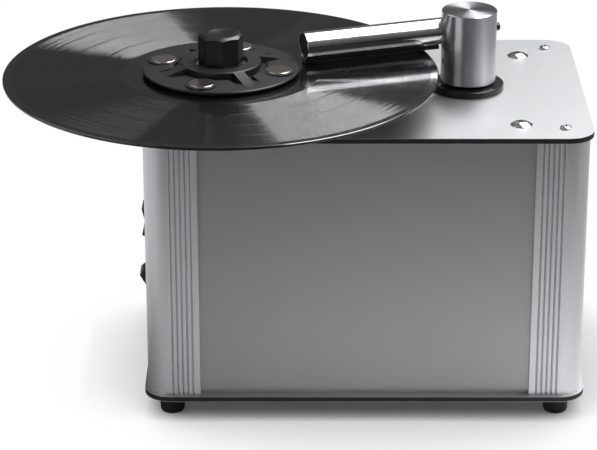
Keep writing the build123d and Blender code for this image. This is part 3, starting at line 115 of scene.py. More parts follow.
# a circle drawn out ring by ring along a profile of (radius, height) in mm
# a closed profile ends where it starts
def turned(name, profile, centre, steps, edge):
    deselect()
    radius, height = profile[0]
    place = (centre.x, centre.y, height * mm)
    bpy.ops.mesh.primitive_circle_add(vertices=steps, radius=radius * mm, location=place)
    piece = bpy.context.object
    piece.name = piece.data.name = name
    bpy.ops.object.transform_apply(location=True)
    bpy.ops.object.mode_set(mode="EDIT")
    bpy.ops.mesh.select_all(action="SELECT")
    for nextRadius, nextHeight in profile[1:]:
        rise = (nextHeight - height) * mm
        bpy.ops.mesh.extrude_region_move(TRANSFORM_OT_translate={"value": (0, 0, rise)})
        ratio = nextRadius / radius
        pole = (centre.x, centre.y, nextHeight * mm)
        bpy.ops.transform.resize(value=(ratio, ratio, 1), center_override=pole)
        radius, height = nextRadius, nextHeight
    bpy.ops.mesh.select_all(action="SELECT")
    bpy.ops.mesh.remove_doubles(threshold=mergeWithin)
    bpy.ops.mesh.normals_make_consistent(inside=False)
    bpy.ops.object.mode_set(mode="OBJECT")
    soften(piece, edge)
    return piece


# the place in the mesh is moved by a matrix, and the object stays at the origin
def put(piece, matrix):
    wake(piece)
    piece.matrix_world = matrix
    bpy.ops.object.transform_apply(location=True, rotation=True, scale=True)


def join(name, pieces):
    wake(pieces[0])
    for piece in pieces[1:]:
        piece.select_set(True)
    bpy.ops.object.join()
    joined = bpy.context.object
    joined.name = joined.data.name = name
    return joined


# a copy of a CAD node, with its loose triangles merged
def merged(node, name):
    piece = bpy.data.objects.new(name, nodes[node].data.copy())
    piece.data.name = name
    bpy.context.scene.collection.objects.link(piece)
    wake(piece)
    bpy.ops.mesh.customdata_custom_splitnormals_clear()
    bpy.ops.object.mode_set(mode="EDIT")
    bpy.ops.mesh.select_all(action="SELECT")
    bpy.ops.mesh.remove_doubles(threshold=mergeWithin)
    bpy.ops.object.mode_set(mode="OBJECT")
    return piece


flatWithin = 0.5  # degrees by which the triangles of one face may differ


# a merged copy of a CAD node, with its sharp edges rounded
def rounded(node, name, width, segments=2, angle=30):
    piece = merged(node, name)
    bpy.ops.object.mode_set(mode="EDIT")
    bpy.ops.mesh.dissolve_limited(angle_limit=math.radians(flatWithin))
    bpy.ops.object.mode_set(mode="OBJECT")
    soften(piece, width, segments, angle)
    return piece


materials = {}


def dress(piece, material):
    piece.data.materials.clear()
    piece.data.materials.append(materials[material])


bodies = frame["record"]["behaviour"]["bodies"]
bodyOf = {node: body for body, members in bodies.items() for node in members}
slotOf = {part["node"]: part["material_slot"] for part in frame["record"]["subparts"]}


# the piece rides on its node's body, replaces the node and takes its slot
def standFor(piece, node, material=None):
    dress(piece, material or slotOf[node])
    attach(piece, bodyOf[node])
    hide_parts(node)


# place, lens and sensor in mm, the clip's end in metres, angles in degrees
camera = {
    "place": (-40.33, -1782.33, 833.9),
    "tilt": 90 - 22.168,
    "turn": 0.228,
    "roll": -0.086,
    "lens": 156.92,
    "sensor": 36,
    "clipEnd": 50,
}


def placeCamera():
    bpy.ops.object.camera_add()
    eye = bpy.context.object
    eye.name = "camera"
    eye.data.lens = camera["lens"]
    eye.data.sensor_width = camera["sensor"]
    eye.data.clip_end = camera["clipEnd"]
    turn = Matrix.Rotation(math.radians(camera["turn"]), 4, "Z")
    tilt = Matrix.Rotation(math.radians(camera["tilt"]), 4, "X")
    roll = Matrix.Rotation(math.radians(camera["roll"]), 4, "Z")
    eye.matrix_world = Matrix.Translation(Vector(camera["place"]) * mm) @ turn @ tilt @ roll
    bpy.context.scene.camera = eye


# steps of (place, value) as a ramp over a value of the tree
def overSteps(tree, value, steps):
    first, last = steps[0][0], steps[-1][0]
    share = addNode(tree, "ShaderNodeMapRange", {"From Min": first, "From Max": last}, {"Value": value})
    node = addNode(tree, "ShaderNodeValToRGB", links={0: share.outputs["Result"]})
    for step in steps[2:]:
        node.color_ramp.elements.new((step[0] - first) / (last - first))
    for element, (place, level) in zip(node.color_ramp.elements, steps):
        element.position = (place - first) / (last - first)
        element.color = (level, level, level, 1)
    return node.outputs[0]


# large soft boxes round the deck: metres, and radiance in W/(sr m2)
lamps = {
    "keyRight": {"toward": (0.50, 0.20, 0.84), "distance": 1.75, "size": (2.4, 1.1), "radiance": 8.6},
    "fillLeft": {"toward": (-0.62, 0.20, 0.76), "distance": 1.9, "size": (1.0, 1.2), "radiance": 1.0},
    "sideRight": {"toward": (0.86, -0.42, 0.28), "distance": 2.2, "size": (0.9, 1.4), "radiance": 0.12},
    "sideLeft": {"toward": (-0.70, -0.68, 0.16), "distance": 2.2, "size": (1.2, 1.0), "radiance": 1.95},
}


def placeLamps():
    for name, lamp in lamps.items():
        direction = Vector(lamp["toward"]).normalized()
        place = Vector((spindle.x, spindle.y, deckZ)) + direction * lamp["distance"]
        turn = direction.to_track_quat("Z", "Y").to_euler()
        bpy.ops.object.light_add(type="AREA", location=place, rotation=turn)
        light = bpy.context.object
        light.name = name
        light.data.shape = "RECTANGLE"
        light.data.size, light.data.size_y = lamp["size"]
        light.data.energy = lamp["radiance"] * math.pi * light.data.size * light.data.size_y


# grey walls that are lighter towards the ceiling, and a white backdrop for the camera and the clear tube
room = {"low": 0.055, "high": 0.22, "highFrom": 0.8, "backdrop": 1.0}


# 1 for what the camera sees directly or through the clear tube
def straightRays(tree):
    path = addNode(tree, "ShaderNodeLightPath")
    return addNode(tree, "ShaderNodeMath", {"operation": "MAXIMUM"},
                   {0: path.outputs["Is Camera Ray"], 1: path.outputs["Is Transmission Ray"]}).outputs[0]


def makeWorld():
    world = bpy.data.worlds.new("studio")
    bpy.context.scene.world = world
    world.use_nodes = True
    tree = world.node_tree
    tree.nodes.clear()
    place = addNode(tree, "ShaderNodeTexCoord")
    split = addNode(tree, "ShaderNodeSeparateXYZ", links={0: place.outputs["Generated"]})
    grey = addNode(tree, "ShaderNodeMapRange",
                   {"From Max": room["highFrom"], "To Min": room["low"], "To Max": room["high"]},
                   {"Value": split.outputs["Z"]})
    walls = addNode(tree, "ShaderNodeBackground", links={"Color": grey.outputs["Result"]})
    backdrop = addNode(tree, "ShaderNodeBackground",
                       {"Strength": room["backdrop"], "Color": (1, 1, 1, 1)})
    mix = addNode(tree, "ShaderNodeMixShader",
                  links={0: straightRays(tree), 1: walls.outputs[0], 2: backdrop.outputs[0]})
    addNode(tree, "ShaderNodeOutputWorld", links={0: mix.outputs[0]})


# white paper, in metres; as the machine sees it, its colour is painted darker towards the camera and to the
# right, a painted shade on the light it throws back, and seen directly it glows white with a painted shadow
# only under and close to the machine
paper = {
    "size": 12, "below": -0.0002, "samples": 16,
    "alongY": ((-0.75, 0.03), (-0.35, 0.42), (-0.2, 0.65), (-0.125, 0.55), (0.1, 0.6)),
    "alongX": ((0.18, 1.0), (0.5, 0.4)),
    "reach": 0.19, "darkAt": 0.12, "dark": 0.07, "whiteAt": 0.78,
    "besideFrom": 0.165, "besideTo": 0.21, "beside": 0.97,
}


def makeFloor():
    deselect()
    bpy.ops.mesh.primitive_plane_add(size=paper["size"], location=(0, 0, paper["below"]))
    floor = bpy.context.object
    floor.name = "floor"
    materials["paper"] = bpy.data.materials.new("paper")
    materials["paper"].use_nodes = True
    tree = materials["paper"].node_tree
    tree.nodes.clear()
    place = addNode(tree, "ShaderNodeTexCoord")
    split = addNode(tree, "ShaderNodeSeparateXYZ", links={0: place.outputs["Object"]})
    # painted shade: the paper's colour falls off along Y and X
    white = addNode(tree, "ShaderNodeMath", {"operation": "MULTIPLY"},
                    {0: overSteps(tree, split.outputs["Y"], paper["alongY"]),
                     1: overSteps(tree, split.outputs["X"], paper["alongX"])})
    paintedShadePaper = addNode(tree, "ShaderNodeBsdfDiffuse", links={"Color": white.outputs[0]})
    # painted shadow: occlusion darkens the glowing paper under and near the machine
    near = addNode(tree, "ShaderNodeAmbientOcclusion",
                   {"Distance": paper["reach"], "samples": paper["samples"]})
    shade = addNode(tree, "ShaderNodeMapRange",
                    {"From Min": paper["darkAt"], "From Max": paper["whiteAt"], "To Min": paper["dark"]},
                    {"Value": near.outputs["AO"]})
    aside = addNode(tree, "ShaderNodeMath", {"operation": "ABSOLUTE"}, {0: split.outputs["X"]})
    beside = addNode(tree, "ShaderNodeMapRange",
                     {"From Min": paper["besideFrom"], "From Max": paper["besideTo"],
                      "To Max": paper["beside"]},
                     {"Value": aside.outputs[0]})
    light = addNode(tree, "ShaderNodeMath", {"operation": "MAXIMUM"},
                    {0: shade.outputs["Result"], 1: beside.outputs["Result"]})
    seen = addNode(tree, "ShaderNodeEmission", {"Strength": 1.0}, {"Color": light.outputs[0]})
    mix = addNode(tree, "ShaderNodeMixShader",
                  links={0: straightRays(tree), 1: paintedShadePaper.outputs[0], 2: seen.outputs[0]})
    addNode(tree, "ShaderNodeOutputMaterial", links={0: mix.outputs[0]})
    dress(floor, "paper")


placeCamera()
placeLamps()
makeWorld()
makeFloor()
bpy.context.scene.view_settings.view_transform = "Standard"
print("camera, lights and floor placed")


# a principled shader with the settings that are the same all over
def startMaterial(name, look):
    materials[name] = bpy.data.materials.new(name)
    materials[name].use_nodes = True
    tree = materials[name].node_tree
    shader = tree.nodes["Principled BSDF"]
    shader.inputs["Base Color"].default_value = linear(look["colour"])
    shader.inputs["Metallic"].default_value = look.get("metallic", 0.0)
    shader.inputs["Roughness"].default_value = look["roughness"]
    shader.inputs["Anisotropic"].default_value = look.get("anisotropic", 0.0)
    shader.inputs["Sheen Weight"].default_value = look.get("sheen", 0.0)
    shader.inputs["Coat Weight"].default_value = look.get("coat", 0.0)
    shader.inputs["Coat Roughness"].default_value = look.get("coatRoughness", 0.03)
    return tree, shader


# Object coordinates in mm, centred and stretched for a pattern
def inMillimetres(tree, stretch=(1, 1, 1), centre=(0, 0, 0)):
    place = addNode(tree, "ShaderNodeTexCoord")
    centred = addNode(tree, "ShaderNodeVectorMath", {"operation": "SUBTRACT", 1: tuple(centre)},
                      {0: place.outputs["Object"]})
    scaled = addNode(tree, "ShaderNodeVectorMath",
                     {"operation": "MULTIPLY", 1: tuple(1000 * s for s in stretch)},
                     {0: centred.outputs[0]})
    return scaled.outputs[0]


noiseRange = {"From Min": 0.3, "From Max": 0.7}  # most of a noise lies between these


# one noise for tone, gloss and relief; its scale is one over the grain's width in mm
def grain(tree, shader, look, place):
    noise = addNode(tree, "ShaderNodeTexNoise",
                    {"Scale": 1 / look["grain"], "Detail": 3.0, "Roughness": 0.6},
                    {"Vector": place})
    if look.get("tone"):
        colour = linear(look["colour"])
        shades = addNode(tree, "ShaderNodeValToRGB", links={0: noise.outputs[0]})
        shares = (1 - look["tone"], 1 + look["tone"])
        for element, position, share in zip(shades.color_ramp.elements, noiseRange.values(), shares):
            element.position = position
            element.color = [min(1, c * share) for c in colour[:3]] + [1]
        tree.links.new(shades.outputs[0], shader.inputs["Base Color"])
    gloss = addNode(tree, "ShaderNodeMapRange",
                    {**noiseRange, "To Min": look["roughness"] - look["spread"],
                     "To Max": look["roughness"] + look["spread"]},
                    {"Value": noise.outputs[0]})
    tree.links.new(gloss.outputs["Result"], shader.inputs["Roughness"])
    if look.get("relief"):
        bump = addNode(tree, "ShaderNodeBump", {"Strength": 1.0, "Distance": look["relief"] * mm},
                       {"Height": noise.outputs[0]})
        tree.links.new(bump.outputs[0], shader.inputs["Normal"])


# grain, relief and stretched grain in mm; the finest grain is drawn coarser than real so that it shows
looks = {
    # anodised aluminium sheet, etched matt first: a soft grey with a faint sparkle and broad reflections
    "satin_aluminium": {"colour": "#bfc0c3", "metallic": 1.0, "roughness": 0.47, "grain": 0.6,
                        "tone": 0.03, "spread": 0.03, "relief": 0.004},
    # the same sheet, rolled and etched a little finer and duller, for the panels
    "panel_sheet": {"colour": "#b0b0b1", "metallic": 1.0, "roughness": 0.43, "grain": 0.45,
                    "tone": 0.05, "spread": 0.03, "relief": 0.006},
    # extruded and anodised aluminium: faint lines from the die run along the posts
    "post_extrusion": {"colour": "#dddee1", "metallic": 1.0, "roughness": 0.37, "grain": 0.8,
                       "tone": 0.03, "spread": 0.03, "relief": 0.004, "stretch": (1, 1, 0.01)},
    # composite sheet: a thin rolled aluminium skin, brushed along its length: grey, with faint long lines
    "plate_skin": {"colour": "#c4c5c7", "metallic": 1.0, "roughness": 0.46, "grain": 0.5, "tone": 0.03,
                   "spread": 0.03, "relief": 0.004, "stretch": (0.06, 1, 1)},
    # the polyethylene core of the composite sheet: black, with a sawn and slightly rough edge
    "plate_core": {"colour": "#141414", "roughness": 0.55, "grain": 0.5, "tone": 0.15, "spread": 0.05,
                   "relief": 0.02},
    # black hard anodising on turned aluminium: nearly as dark as paint, with a close gloss
    "black_anodised": {"colour": "#101011", "roughness": 0.3, "grain": 0.4, "tone": 0.1,
                       "spread": 0.04, "relief": 0.003},
    # drawn and polished stainless steel: a mirror with a slow waver left by the polishing wheel
    "polished_steel": {"colour": "#d0d0d3", "metallic": 1.0, "roughness": 0.17, "grain": 14,
                       "tone": 0.02, "spread": 0.02},
    # zinc plated and passivated screws: bright, with small cloudy patches
    "bright_screws": {"colour": "#cfd0d1", "metallic": 1.0, "roughness": 0.16, "grain": 1.2,
                      "tone": 0.05, "spread": 0.05, "relief": 0.004},
    # black oxide on a steel set screw: dark, with an oily gloss
    "blackened_steel": {"colour": "#34343a", "metallic": 1.0, "roughness": 0.32, "grain": 0.8,
                        "tone": 0.08, "spread": 0.05, "relief": 0.004},
    # nickel plate on sintered magnets: warm and slightly uneven
    "nickel": {"colour": "#c9c4bb", "metallic": 1.0, "roughness": 0.2, "grain": 1.4, "tone": 0.05,
               "spread": 0.06, "relief": 0.004},
    # plated steel cans of motors, and spring wire: dull grey with a soft mottle
    "machine_steel": {"colour": "#a3a4a6", "metallic": 1.0, "roughness": 0.4, "grain": 2.0,
                      "tone": 0.08, "spread": 0.05, "relief": 0.01},
    # injection moulded nylon, spark-eroded mould: black with a fine satin stipple
    "clamp_plastic": {"colour": "#1b1b1c", "roughness": 0.4, "grain": 0.35, "tone": 0.12,
                      "spread": 0.05, "relief": 0.012},
    # phenolic knob from a polished mould: black, with a gloss dulled by hands
    "knob_plastic": {"colour": "#0b0b0c", "roughness": 0.34, "grain": 1.5, "tone": 0.1, "spread": 0.03,
                     "relief": 0.003},
    # moulded nitrile rubber: dull black with a dusty bloom
    "black_rubber": {"colour": "#151515", "roughness": 0.64, "grain": 0.5, "tone": 0.25,
                     "spread": 0.06, "relief": 0.02},
    # sintered bronze, oil filled: brown gold with open pores
    "bearing_bronze": {"colour": "#ad8850", "metallic": 1.0, "roughness": 0.38, "grain": 0.6,
                       "tone": 0.12, "spread": 0.06, "relief": 0.01},
    # natural polyethylene, blow moulded: milky and waxy
    "tank_plastic": {"colour": "#dbdbd5", "roughness": 0.42, "grain": 3.0, "tone": 0.04,
                     "spread": 0.05, "relief": 0.02},
    # glass filled nylon of fan and case: grey black with a grainy face
    "fan_plastic": {"colour": "#2c2c2d", "roughness": 0.5, "grain": 0.8, "tone": 0.1, "spread": 0.05,
                    "relief": 0.02},
    # moulded ABS of switches, inlet and clips: black, half gloss
    "black_plastic": {"colour": "#161617", "roughness": 0.34, "grain": 0.5, "tone": 0.12,
                      "spread": 0.04, "relief": 0.01},
    # tinned brass blades of the inlet: pale and faintly yellow
    "contact_metal": {"colour": "#d8cfae", "metallic": 1.0, "roughness": 0.28, "grain": 0.8,
                      "tone": 0.06, "spread": 0.05, "relief": 0.003},
    # green solder resist on glass epoxy: half gloss, mottled by the weave under it
    "board": {"colour": "#1d5c38", "roughness": 0.45, "grain": 2.5, "tone": 0.2, "spread": 0.05,
              "relief": 0.02},
    # turned brass standoffs: yellow, with a fine mottle
    "standoff_brass": {"colour": "#c3a35c", "metallic": 1.0, "roughness": 0.3, "grain": 0.8,
                       "tone": 0.06, "spread": 0.05, "relief": 0.004},
}

for name, look in looks.items():
    tree, shader = startMaterial(name, look)
    grain(tree, shader, look, inMillimetres(tree, look.get("stretch", (1, 1, 1))))


# painted shade: the grooves of the posts are painted darker than the ribs, as the shade that falls in them,
# so they show as darker lines
# in mm: the round corners are left out, and the shade comes on from one depth below the face to another
postGrooveShade = {"corner": 16.5, "from": 0.1, "to": 0.55, "shade": 0.2, "colour": "#1c1c1e"}


def paintGrooveShade():
    boxes = [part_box(name) for name in posts]
    low = Vector((min(box[0].x for box in boxes), min(box[0].y for box in boxes), 0))
    high = Vector((max(box[1].x for box in boxes), max(box[1].y for box in boxes), 0))
    half = (high - low) / 2 / mm
    tree = materials["post_extrusion"].node_tree
    shader = tree.nodes["Principled BSDF"]
    bare = shader.inputs["Base Color"].links[0].from_socket
    place = inMillimetres(tree, centre=(low + high) / 2)
    mirrored = addNode(tree, "ShaderNodeVectorMath", {"operation": "ABSOLUTE"}, {0: place})
    depths = addNode(tree, "ShaderNodeVectorMath", {"operation": "SUBTRACT", 0: tuple(half)},
                     {1: mirrored.outputs[0]})
    split = addNode(tree, "ShaderNodeSeparateXYZ", links={0: depths.outputs[0]})
    bothWays = {0: split.outputs["X"], 1: split.outputs["Y"]}
    nearest = addNode(tree, "ShaderNodeMath", {"operation": "MINIMUM"}, bothWays)
    furthest = addNode(tree, "ShaderNodeMath", {"operation": "MAXIMUM"}, bothWays)
    below = addNode(tree, "ShaderNodeMapRange",
                    {"From Min": postGrooveShade["from"], "From Max": postGrooveShade["to"],
                     "To Max": postGrooveShade["shade"]},
                    {"Value": nearest.outputs[0]})
    onFlat = addNode(tree, "ShaderNodeMath", {"operation": "GREATER_THAN", 1: postGrooveShade["corner"]},
                     {0: furthest.outputs[0]})
    share = addNode(tree, "ShaderNodeMath", {"operation": "MULTIPLY"},
                    {0: below.outputs["Result"], 1: onFlat.outputs[0]})
    # painted shade: the colour in the grooves is mixed towards near black
    colour = addNode(tree, "ShaderNodeMix", {"data_type": "RGBA", 7: linear(postGrooveShade["colour"])},
                     {0: share.outputs[0], 6: bare})
    tree.links.new(colour.outputs[2], shader.inputs["Base Color"])


# a flat direction away from a vertical axis, and the distance from it in mm
def fromAxis(tree, centre):
    place = inMillimetres(tree, (1, 1, 0), (centre.x, centre.y, 0))
    length = addNode(tree, "ShaderNodeVectorMath", {"operation": "LENGTH"}, {0: place})
    outward = addNode(tree, "ShaderNodeVectorMath", {"operation": "NORMALIZE"}, {0: place})
    return outward.outputs[0], length.outputs["Value"]


# pressed vinyl: the close grooves stretch each highlight into a fan from the middle, and the lands between
# them are glossy enough to mirror what stands on the disc; real grooves are about 0.1 mm apart, and these
# are drawn wider so that they show
vinyl = {
    "colour": "#08080a", "label": "#3a3a3c", "labelRadius": 50.0, "roughness": 0.16, "anisotropic": 0.9,
    "coat": 0.4, "coatRoughness": 0.05, "ior": 1.8, "land": 0.4, "groove": 0.25, "band": 2.4,
    "bandRoughness": 0.8, "leastSlope": 0.34, "mostSlope": 0.78,
    "grooved": ((0, 0), (68.5, 0), (69.5, 1), (87.6, 1), (87.8, 0.2), (88.6, 0.2), (88.8, 1), (109.0, 1),
                (109.2, 0.2), (110.0, 0.2), (110.2, 1), (128.6, 1), (128.8, 0.2), (129.6, 0.2), (129.8, 1),
                (146.6, 1), (147.0, 0.1), (152.4, 0)),
}


def makeVinyl():
    tree, shader = startMaterial("vinyl", vinyl)
    outward, radius = fromAxis(tree, spindle)
    inGrooves = overSteps(tree, radius, vinyl["grooved"])
    ring = addNode(tree, "ShaderNodeCombineXYZ", links={0: radius})
    bands = addNode(tree, "ShaderNodeTexNoise",
                    {"Scale": 1 / vinyl["band"], "Detail": 3.0, "Roughness": vinyl["bandRoughness"]},
                    {"Vector": ring.outputs[0]})
    steep = addNode(tree, "ShaderNodeMapRange",
                    {**noiseRange, "To Min": vinyl["leastSlope"], "To Max": vinyl["mostSlope"]},
                    {"Value": bands.outputs[0]})
    turn = addNode(tree, "ShaderNodeMath", {"operation": "MULTIPLY", 1: fullTurn / vinyl["groove"]},
                   {0: radius})
    wave = addNode(tree, "ShaderNodeMath", {"operation": "SINE"}, {0: turn.outputs[0]})
    side = addNode(tree, "ShaderNodeMath", {"operation": "SIGN"}, {0: wave.outputs[0]})
    depth = addNode(tree, "ShaderNodeMath", {"operation": "ABSOLUTE"}, {0: wave.outputs[0]})
    onWall = addNode(tree, "ShaderNodeMath", {"operation": "GREATER_THAN", 1: vinyl["land"]},
                     {0: depth.outputs[0]})
    wall = addNode(tree, "ShaderNodeMath", {"operation": "MULTIPLY"},
                   {0: side.outputs[0], 1: onWall.outputs[0]})
    slope = addNode(tree, "ShaderNodeMath", {"operation": "MULTIPLY"},
                    {0: steep.outputs["Result"], 1: wall.outputs[0]})
    amount = addNode(tree, "ShaderNodeMath", {"operation": "MULTIPLY"}, {0: slope.outputs[0], 1: inGrooves})
    tilt = addNode(tree, "ShaderNodeVectorMath", {"operation": "SCALE"},
                   {0: outward, "Scale": amount.outputs[0]})
    geometry = addNode(tree, "ShaderNodeNewGeometry")
    leaning = addNode(tree, "ShaderNodeVectorMath", {"operation": "ADD"},
                      {0: geometry.outputs["Normal"], 1: tilt.outputs[0]})
    normal = addNode(tree, "ShaderNodeVectorMath", {"operation": "NORMALIZE"}, {0: leaning.outputs[0]})
    tree.links.new(normal.outputs[0], shader.inputs["Normal"])
    tree.links.new(outward, shader.inputs["Tangent"])
    shader.inputs["IOR"].default_value = vinyl["ior"]
    onLabel = addNode(tree, "ShaderNodeMath", {"operation": "LESS_THAN", 1: vinyl["labelRadius"]},
                      {0: radius})
    colour = addNode(tree, "ShaderNodeMix",
                     {"data_type": "RGBA", 6: linear(vinyl["colour"]), 7: linear(vinyl["label"])},
                     {0: onLabel.outputs[0]})
    tree.links.new(colour.outputs[2], shader.inputs["Base Color"])


# aluminium turned on a lathe: rings on the ends, fine lines round the side, so highlights run up and down;
# a face counts as an end where its normal is that upright
turnedLook = {"colour": "#c4c5c8", "metallic": 1.0, "roughness": 0.3, "anisotropic": 0.85, "grain": 0.5,
              "tone": 0.015, "spread": 0.02, "endFrom": 0.7}


def makeTurned():
    tree, shader = startMaterial("turned_aluminium", turnedLook)
    outward, radius = fromAxis(tree, pivot)
    geometry = addNode(tree, "ShaderNodeNewGeometry")
    split = addNode(tree, "ShaderNodeSeparateXYZ", links={0: geometry.outputs["Normal"]})
    level = addNode(tree, "ShaderNodeMath", {"operation": "ABSOLUTE"}, {0: split.outputs["Z"]})
    onEnd = addNode(tree, "ShaderNodeMath", {"operation": "GREATER_THAN", 1: turnedLook["endFrom"]},
                    {0: level.outputs[0]})
    lean = addNode(tree, "ShaderNodeMix", {"data_type": "VECTOR", 4: (0, 0, 1)},
                   {"Factor": onEnd.outputs[0], 5: outward})
    tree.links.new(lean.outputs[1], shader.inputs["Tangent"])
    height = addNode(tree, "ShaderNodeSeparateXYZ", links={0: inMillimetres(tree)})
    along = addNode(tree, "ShaderNodeMix", {"data_type": "FLOAT"},
                    {"Factor": onEnd.outputs[0], 2: height.outputs["Z"], 3: radius})
    ring = addNode(tree, "ShaderNodeCombineXYZ", links={0: along.outputs[0]})
    grain(tree, shader, turnedLook, ring.outputs[0])


# pressed wool felt: matt black, short fibres stand off the face; drawn 0.3 mm wide, so that they show
feltLook = {"colour": "#101011", "roughness": 0.95, "grain": 0.3, "tone": 0.5, "spread": 0.04,
            "relief": 0.2, "sheen": 0.4, "sheenRoughness": 0.5, "stretch": (0.5, 1, 1)}


def makeFelt():
    tree, shader = startMaterial("felt", feltLook)
    shader.inputs["Sheen Roughness"].default_value = feltLook["sheenRoughness"]
    grain(tree, shader, feltLook, inMillimetres(tree, feltLook["stretch"]))


# flexible clear PVC: the bore shows through a slightly cloudy wall
tubeLook = {"colour": "#e8eceb", "roughness": 0.18, "grain": 5.0, "tone": 0.03, "spread": 0.05,
            "relief": 0.01, "transmission": 0.8, "ior": 1.53}


def makeClearTube():
    tree, shader = startMaterial("clear_tube", tubeLook)
    shader.inputs["Transmission Weight"].default_value = tubeLook["transmission"]
    shader.inputs["IOR"].default_value = tubeLook["ior"]
    grain(tree, shader, tubeLook, inMillimetres(tree))


paintGrooveShade()
makeVinyl()
makeTurned()
makeFelt()
makeClearTube()
print("materials made:", len(materials))

# finishes that differ from the slot's own
finishes = {name: "panel_sheet" for name in ("front_panel", "left_panel", "right_panel", "rear_panel")}
finishes.update({name: "post_extrusion" for name in posts})
finishes.update({"arm_screw": "blackened_steel", "clamp_knob": "knob_plastic"})

for name, node in nodes.items():
    dress(node, finishes.get(name, slotOf[name]))

# machined, moulded and extruded pieces keep the CAD shape, with their edges broken by so many mm
edges = {
    "top_plate_skins": 0.1, "bottom_plate_skins": 0.1, "top_plate_core": 0.15,
    "bottom_plate_core": 0.15, "rear_panel": 0.25, "arm_block": 0.3, "arm_base_ring": 0.2,
    "arm_screw": 0.2, "ring_screws": 0.1, "plate_screws": 0.2, "tank_screws": 0.2, "clamp_plate": 0.2,
    "clamp_magnets": 0.12, "clamp_washer": 0.1, "platter": 0.3, "platter_bearing": 0.2,
    "platter_shaft": 0.2, "suction_tube": 0.12, "tube_cap": 0.25, "direction_rocker": 0.5,
    "vacuum_rocker": 0.5, "direction_switch_body": 0.3, "vacuum_switch_body": 0.3, "mains_inlet": 0.3,
    "inlet_pins": 0.25, "inlet_screws": 0.2, "hose_clips": 0.3, "drain_elbow": 0.25, "waste_tank": 0.6,
    "fan_case": 0.4, "suction_hose": 0.5,
}

# the posts' ribs are fine, and the knob's eight sides meet at low angles
postEdge = 0.08
knob = {"edge": 0.5, "segments": 3, "angle": 12}


def camel(node):
    first, *rest = node.split("_")
    return first + "".join(word.capitalize() for word in rest)


edges.update({node: postEdge for node in posts})
for node, width in edges.items():
    standFor(rounded(node, camel(node), width), node, finishes.get(node))
handle = rounded("clamp_knob", "clampKnob", knob["edge"], knob["segments"], knob["angle"])
standFor(handle, "clamp_knob", finishes["clamp_knob"])
print("edges broken on", len(edges) + 1, "pieces")

# the disc, from its hole over the label, the run-out, the grooves and the thick rim, and back underneath
disc = {"hole": 3.62, "label": 50.0, "labelEdge": 51.0, "rise": 0.2, "runOut": 60.0, "beadStart": 150.0,
        "beadTop": 151.2, "beadSide": 151.9, "beadDrop": 0.1, "outer": 152.4, "outerShare": 0.55,
        "steps": 256, "edge": 0.12}


def makeDisc():
    half = (recordHigh - recordLow) / 2 / mm
    centre = (recordHigh + recordLow) / 2 / mm
    upper = [(disc["hole"], half), (disc["label"], half), (disc["labelEdge"], half - disc["rise"]),
             (disc["runOut"], half - disc["rise"]), (disc["beadStart"], half - disc["rise"]),
             (disc["beadTop"], half), (disc["beadSide"], half - disc["beadDrop"]),
             (disc["outer"], half * disc["outerShare"])]
    lower = [(radius, -height) for radius, height in reversed(upper)]
    profile = [(radius, centre + height) for radius, height in upper + lower + upper[:1]]
    standFor(turned("vinylDisc", profile, spindle, disc["steps"], disc["edge"]), "record")


# rubber mat: an outer and an inner lip, and shallow rings between them; the points of a ring are shares of
# its pitch and its depth
mat = {"inner": 30.0, "lip": 1.6, "depth": 0.35, "pitch": 3.2, "ring": ((0.2, 1), (0.5, 1), (0.7, 0), (1, 0)),
       "steps": 128, "edge": 0.2}


def makeMat():
    low, high = (corner.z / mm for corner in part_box("platter_mat"))
    outer = (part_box("platter_mat")[1].x - spindle.x) / mm
    profile = [(mat["inner"], low), (outer, low), (outer, high), (outer - mat["lip"], high)]
    radius = outer - mat["lip"]
    while radius - mat["pitch"] > mat["inner"] + mat["lip"]:
        for inward, down in mat["ring"]:
            profile.append((radius - mat["pitch"] * inward, high - mat["depth"] * down))
        radius -= mat["pitch"]
    profile += [(mat["inner"], high), (mat["inner"], low)]
    standFor(turned("platterMat", profile, spindle, mat["steps"], mat["edge"]), "platter_mat")


# soft lip round the clamp's underside: rounded below, with a relief groove
seal = {"width": 4.0, "groove": 0.5, "corner": 0.6, "steps": 160, "edge": 0.3}


def makeSeal():
    low, high = (corner.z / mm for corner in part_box("clamp_seal"))
    outer = (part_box("clamp_seal")[1].x - spindle.x) / mm
    inner = outer - seal["width"]
    centre = (inner + outer) / 2
    profile = [(inner, high), (inner, low + seal["corner"]), (inner + seal["corner"], low),
               (centre - seal["groove"], low), (centre, low + seal["groove"]), (centre + seal["groove"], low),
               (outer - seal["corner"], low), (outer, low + seal["corner"]), (outer, high), (inner, high)]
    standFor(turned("clampSeal", profile, spindle, seal["steps"], seal["edge"]), "clamp_seal")


# tapered feet with a rounded lower edge, a screw recess and a faint waist
foot = {"side": ((7.1, 0), (8.2, 0.6), (8.7, 1.9), (9.0, 8.0), (9.4, 13.5), (9.5, 15.5)), "recess": 4.4,
        "depth": 6.0, "bore": 2.55, "steps": 64, "edge": 0.3}


def makeFeet():
    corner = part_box("rubber_feet")[1]
    top, height = foot["side"][-1]
    first = Vector((corner.x - top * mm, corner.y - top * mm, 0))
    profile = [(foot["bore"], foot["depth"]), (foot["recess"], foot["depth"]), (foot["recess"], 0)]
    profile += [*foot["side"], (foot["bore"], height), (foot["bore"], foot["depth"])]
    model = turned("foot", profile, first, foot["steps"], foot["edge"])
    feet = [model]
    for shiftX, shiftY in ((1, 0), (0, 1), (1, 1)):
        copy = model.copy()
        copy.data = model.data.copy()
        bpy.context.scene.collection.objects.link(copy)
        put(copy, Matrix.Translation((-2 * first.x * shiftX, -2 * first.y * shiftY, 0)))
        feet.append(copy)
    standFor(join("rubberFeet", feet), "rubber_feet")


# foam-rubber ring under the vacuum motor: a rounded pad with three pressed channels
pad = {"inner": 38.0, "outer": 46.0, "channels": (0.25, 0.5, 0.75), "depth": 0.6, "half": 0.5, "steps": 96,
       "edge": 0.2}


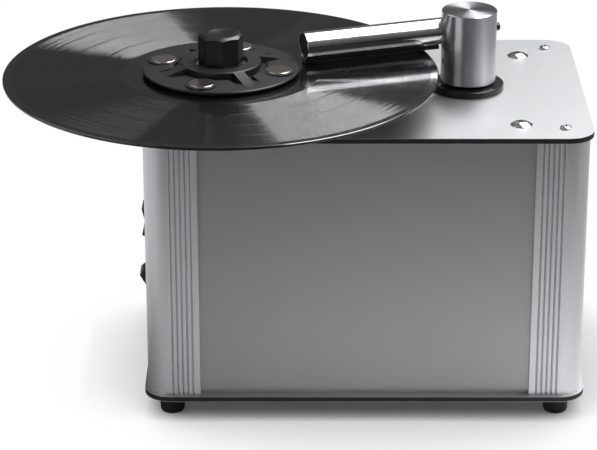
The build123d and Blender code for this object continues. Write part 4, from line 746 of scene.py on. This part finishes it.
def makeMotorRing():
    low, high = (corner.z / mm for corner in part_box("vacuum_ring"))
    profile = [(pad["inner"], low), (pad["outer"], low)]
    for share in pad["channels"]:
        height = low + (high - low) * share
        profile += [(pad["outer"], height - pad["half"]), (pad["outer"] - pad["depth"], height),
                    (pad["outer"], height + pad["half"])]
    profile += [(pad["outer"], high), (pad["inner"], high), (pad["inner"], low)]
    ring = turned("vacuumRing", profile, middle("vacuum_ring"), pad["steps"], pad["edge"])
    standFor(ring, "vacuum_ring")


# clear level tube behind the machine: stretched over the elbow's spigot below, cut square above
level = {"outer": 4.5, "bore": 3.1, "stretch": 0.35, "wideTo": 7.0, "narrowFrom": 10.0, "steps": 48,
         "edge": 0.2}


def makeLevelTube():
    low, high = (corner.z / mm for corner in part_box("level_hose"))
    wide = level["outer"] + level["stretch"]
    profile = [(level["bore"], low), (wide, low), (wide, low + level["wideTo"]),
               (level["outer"], low + level["narrowFrom"]), (level["outer"], high), (level["bore"], high),
               (level["bore"], low)]
    tube = turned("levelTube", profile, middle("level_hose"), level["steps"], level["edge"])
    standFor(tube, "level_hose")


makeDisc()
makeMat()
makeSeal()
makeFeet()
makeMotorRing()
makeLevelTube()
print("disc, mat, seal, feet, ring and level tube made")


# felt strips under the tube, remeshed in cells fine enough for their faces to be uneven; the fibres lie
# mostly below the faces
felt = {"cell": 0.35, "fibres": 0.9, "uneven": 0.24, "level": 0.62, "smoothing": 0.5}


def makeFelts():
    strips = merged("felt_strips", "feltStrips")
    applyModifier(strips, "REMESH", mode="VOXEL", voxel_size=felt["cell"] * mm)
    fibres = bpy.data.textures.new("fibres", "CLOUDS")
    fibres.noise_scale = felt["fibres"] * mm
    applyModifier(strips, "DISPLACE", texture=fibres, texture_coords="LOCAL", strength=felt["uneven"] * mm,
                  mid_level=felt["level"])
    applyModifier(strips, "SMOOTH", factor=felt["smoothing"], iterations=1)
    wake(strips)
    bpy.ops.object.shade_smooth()
    standFor(strips, "felt_strips")
    print("felt faces:", len(strips.data.polygons))


makeFelts()
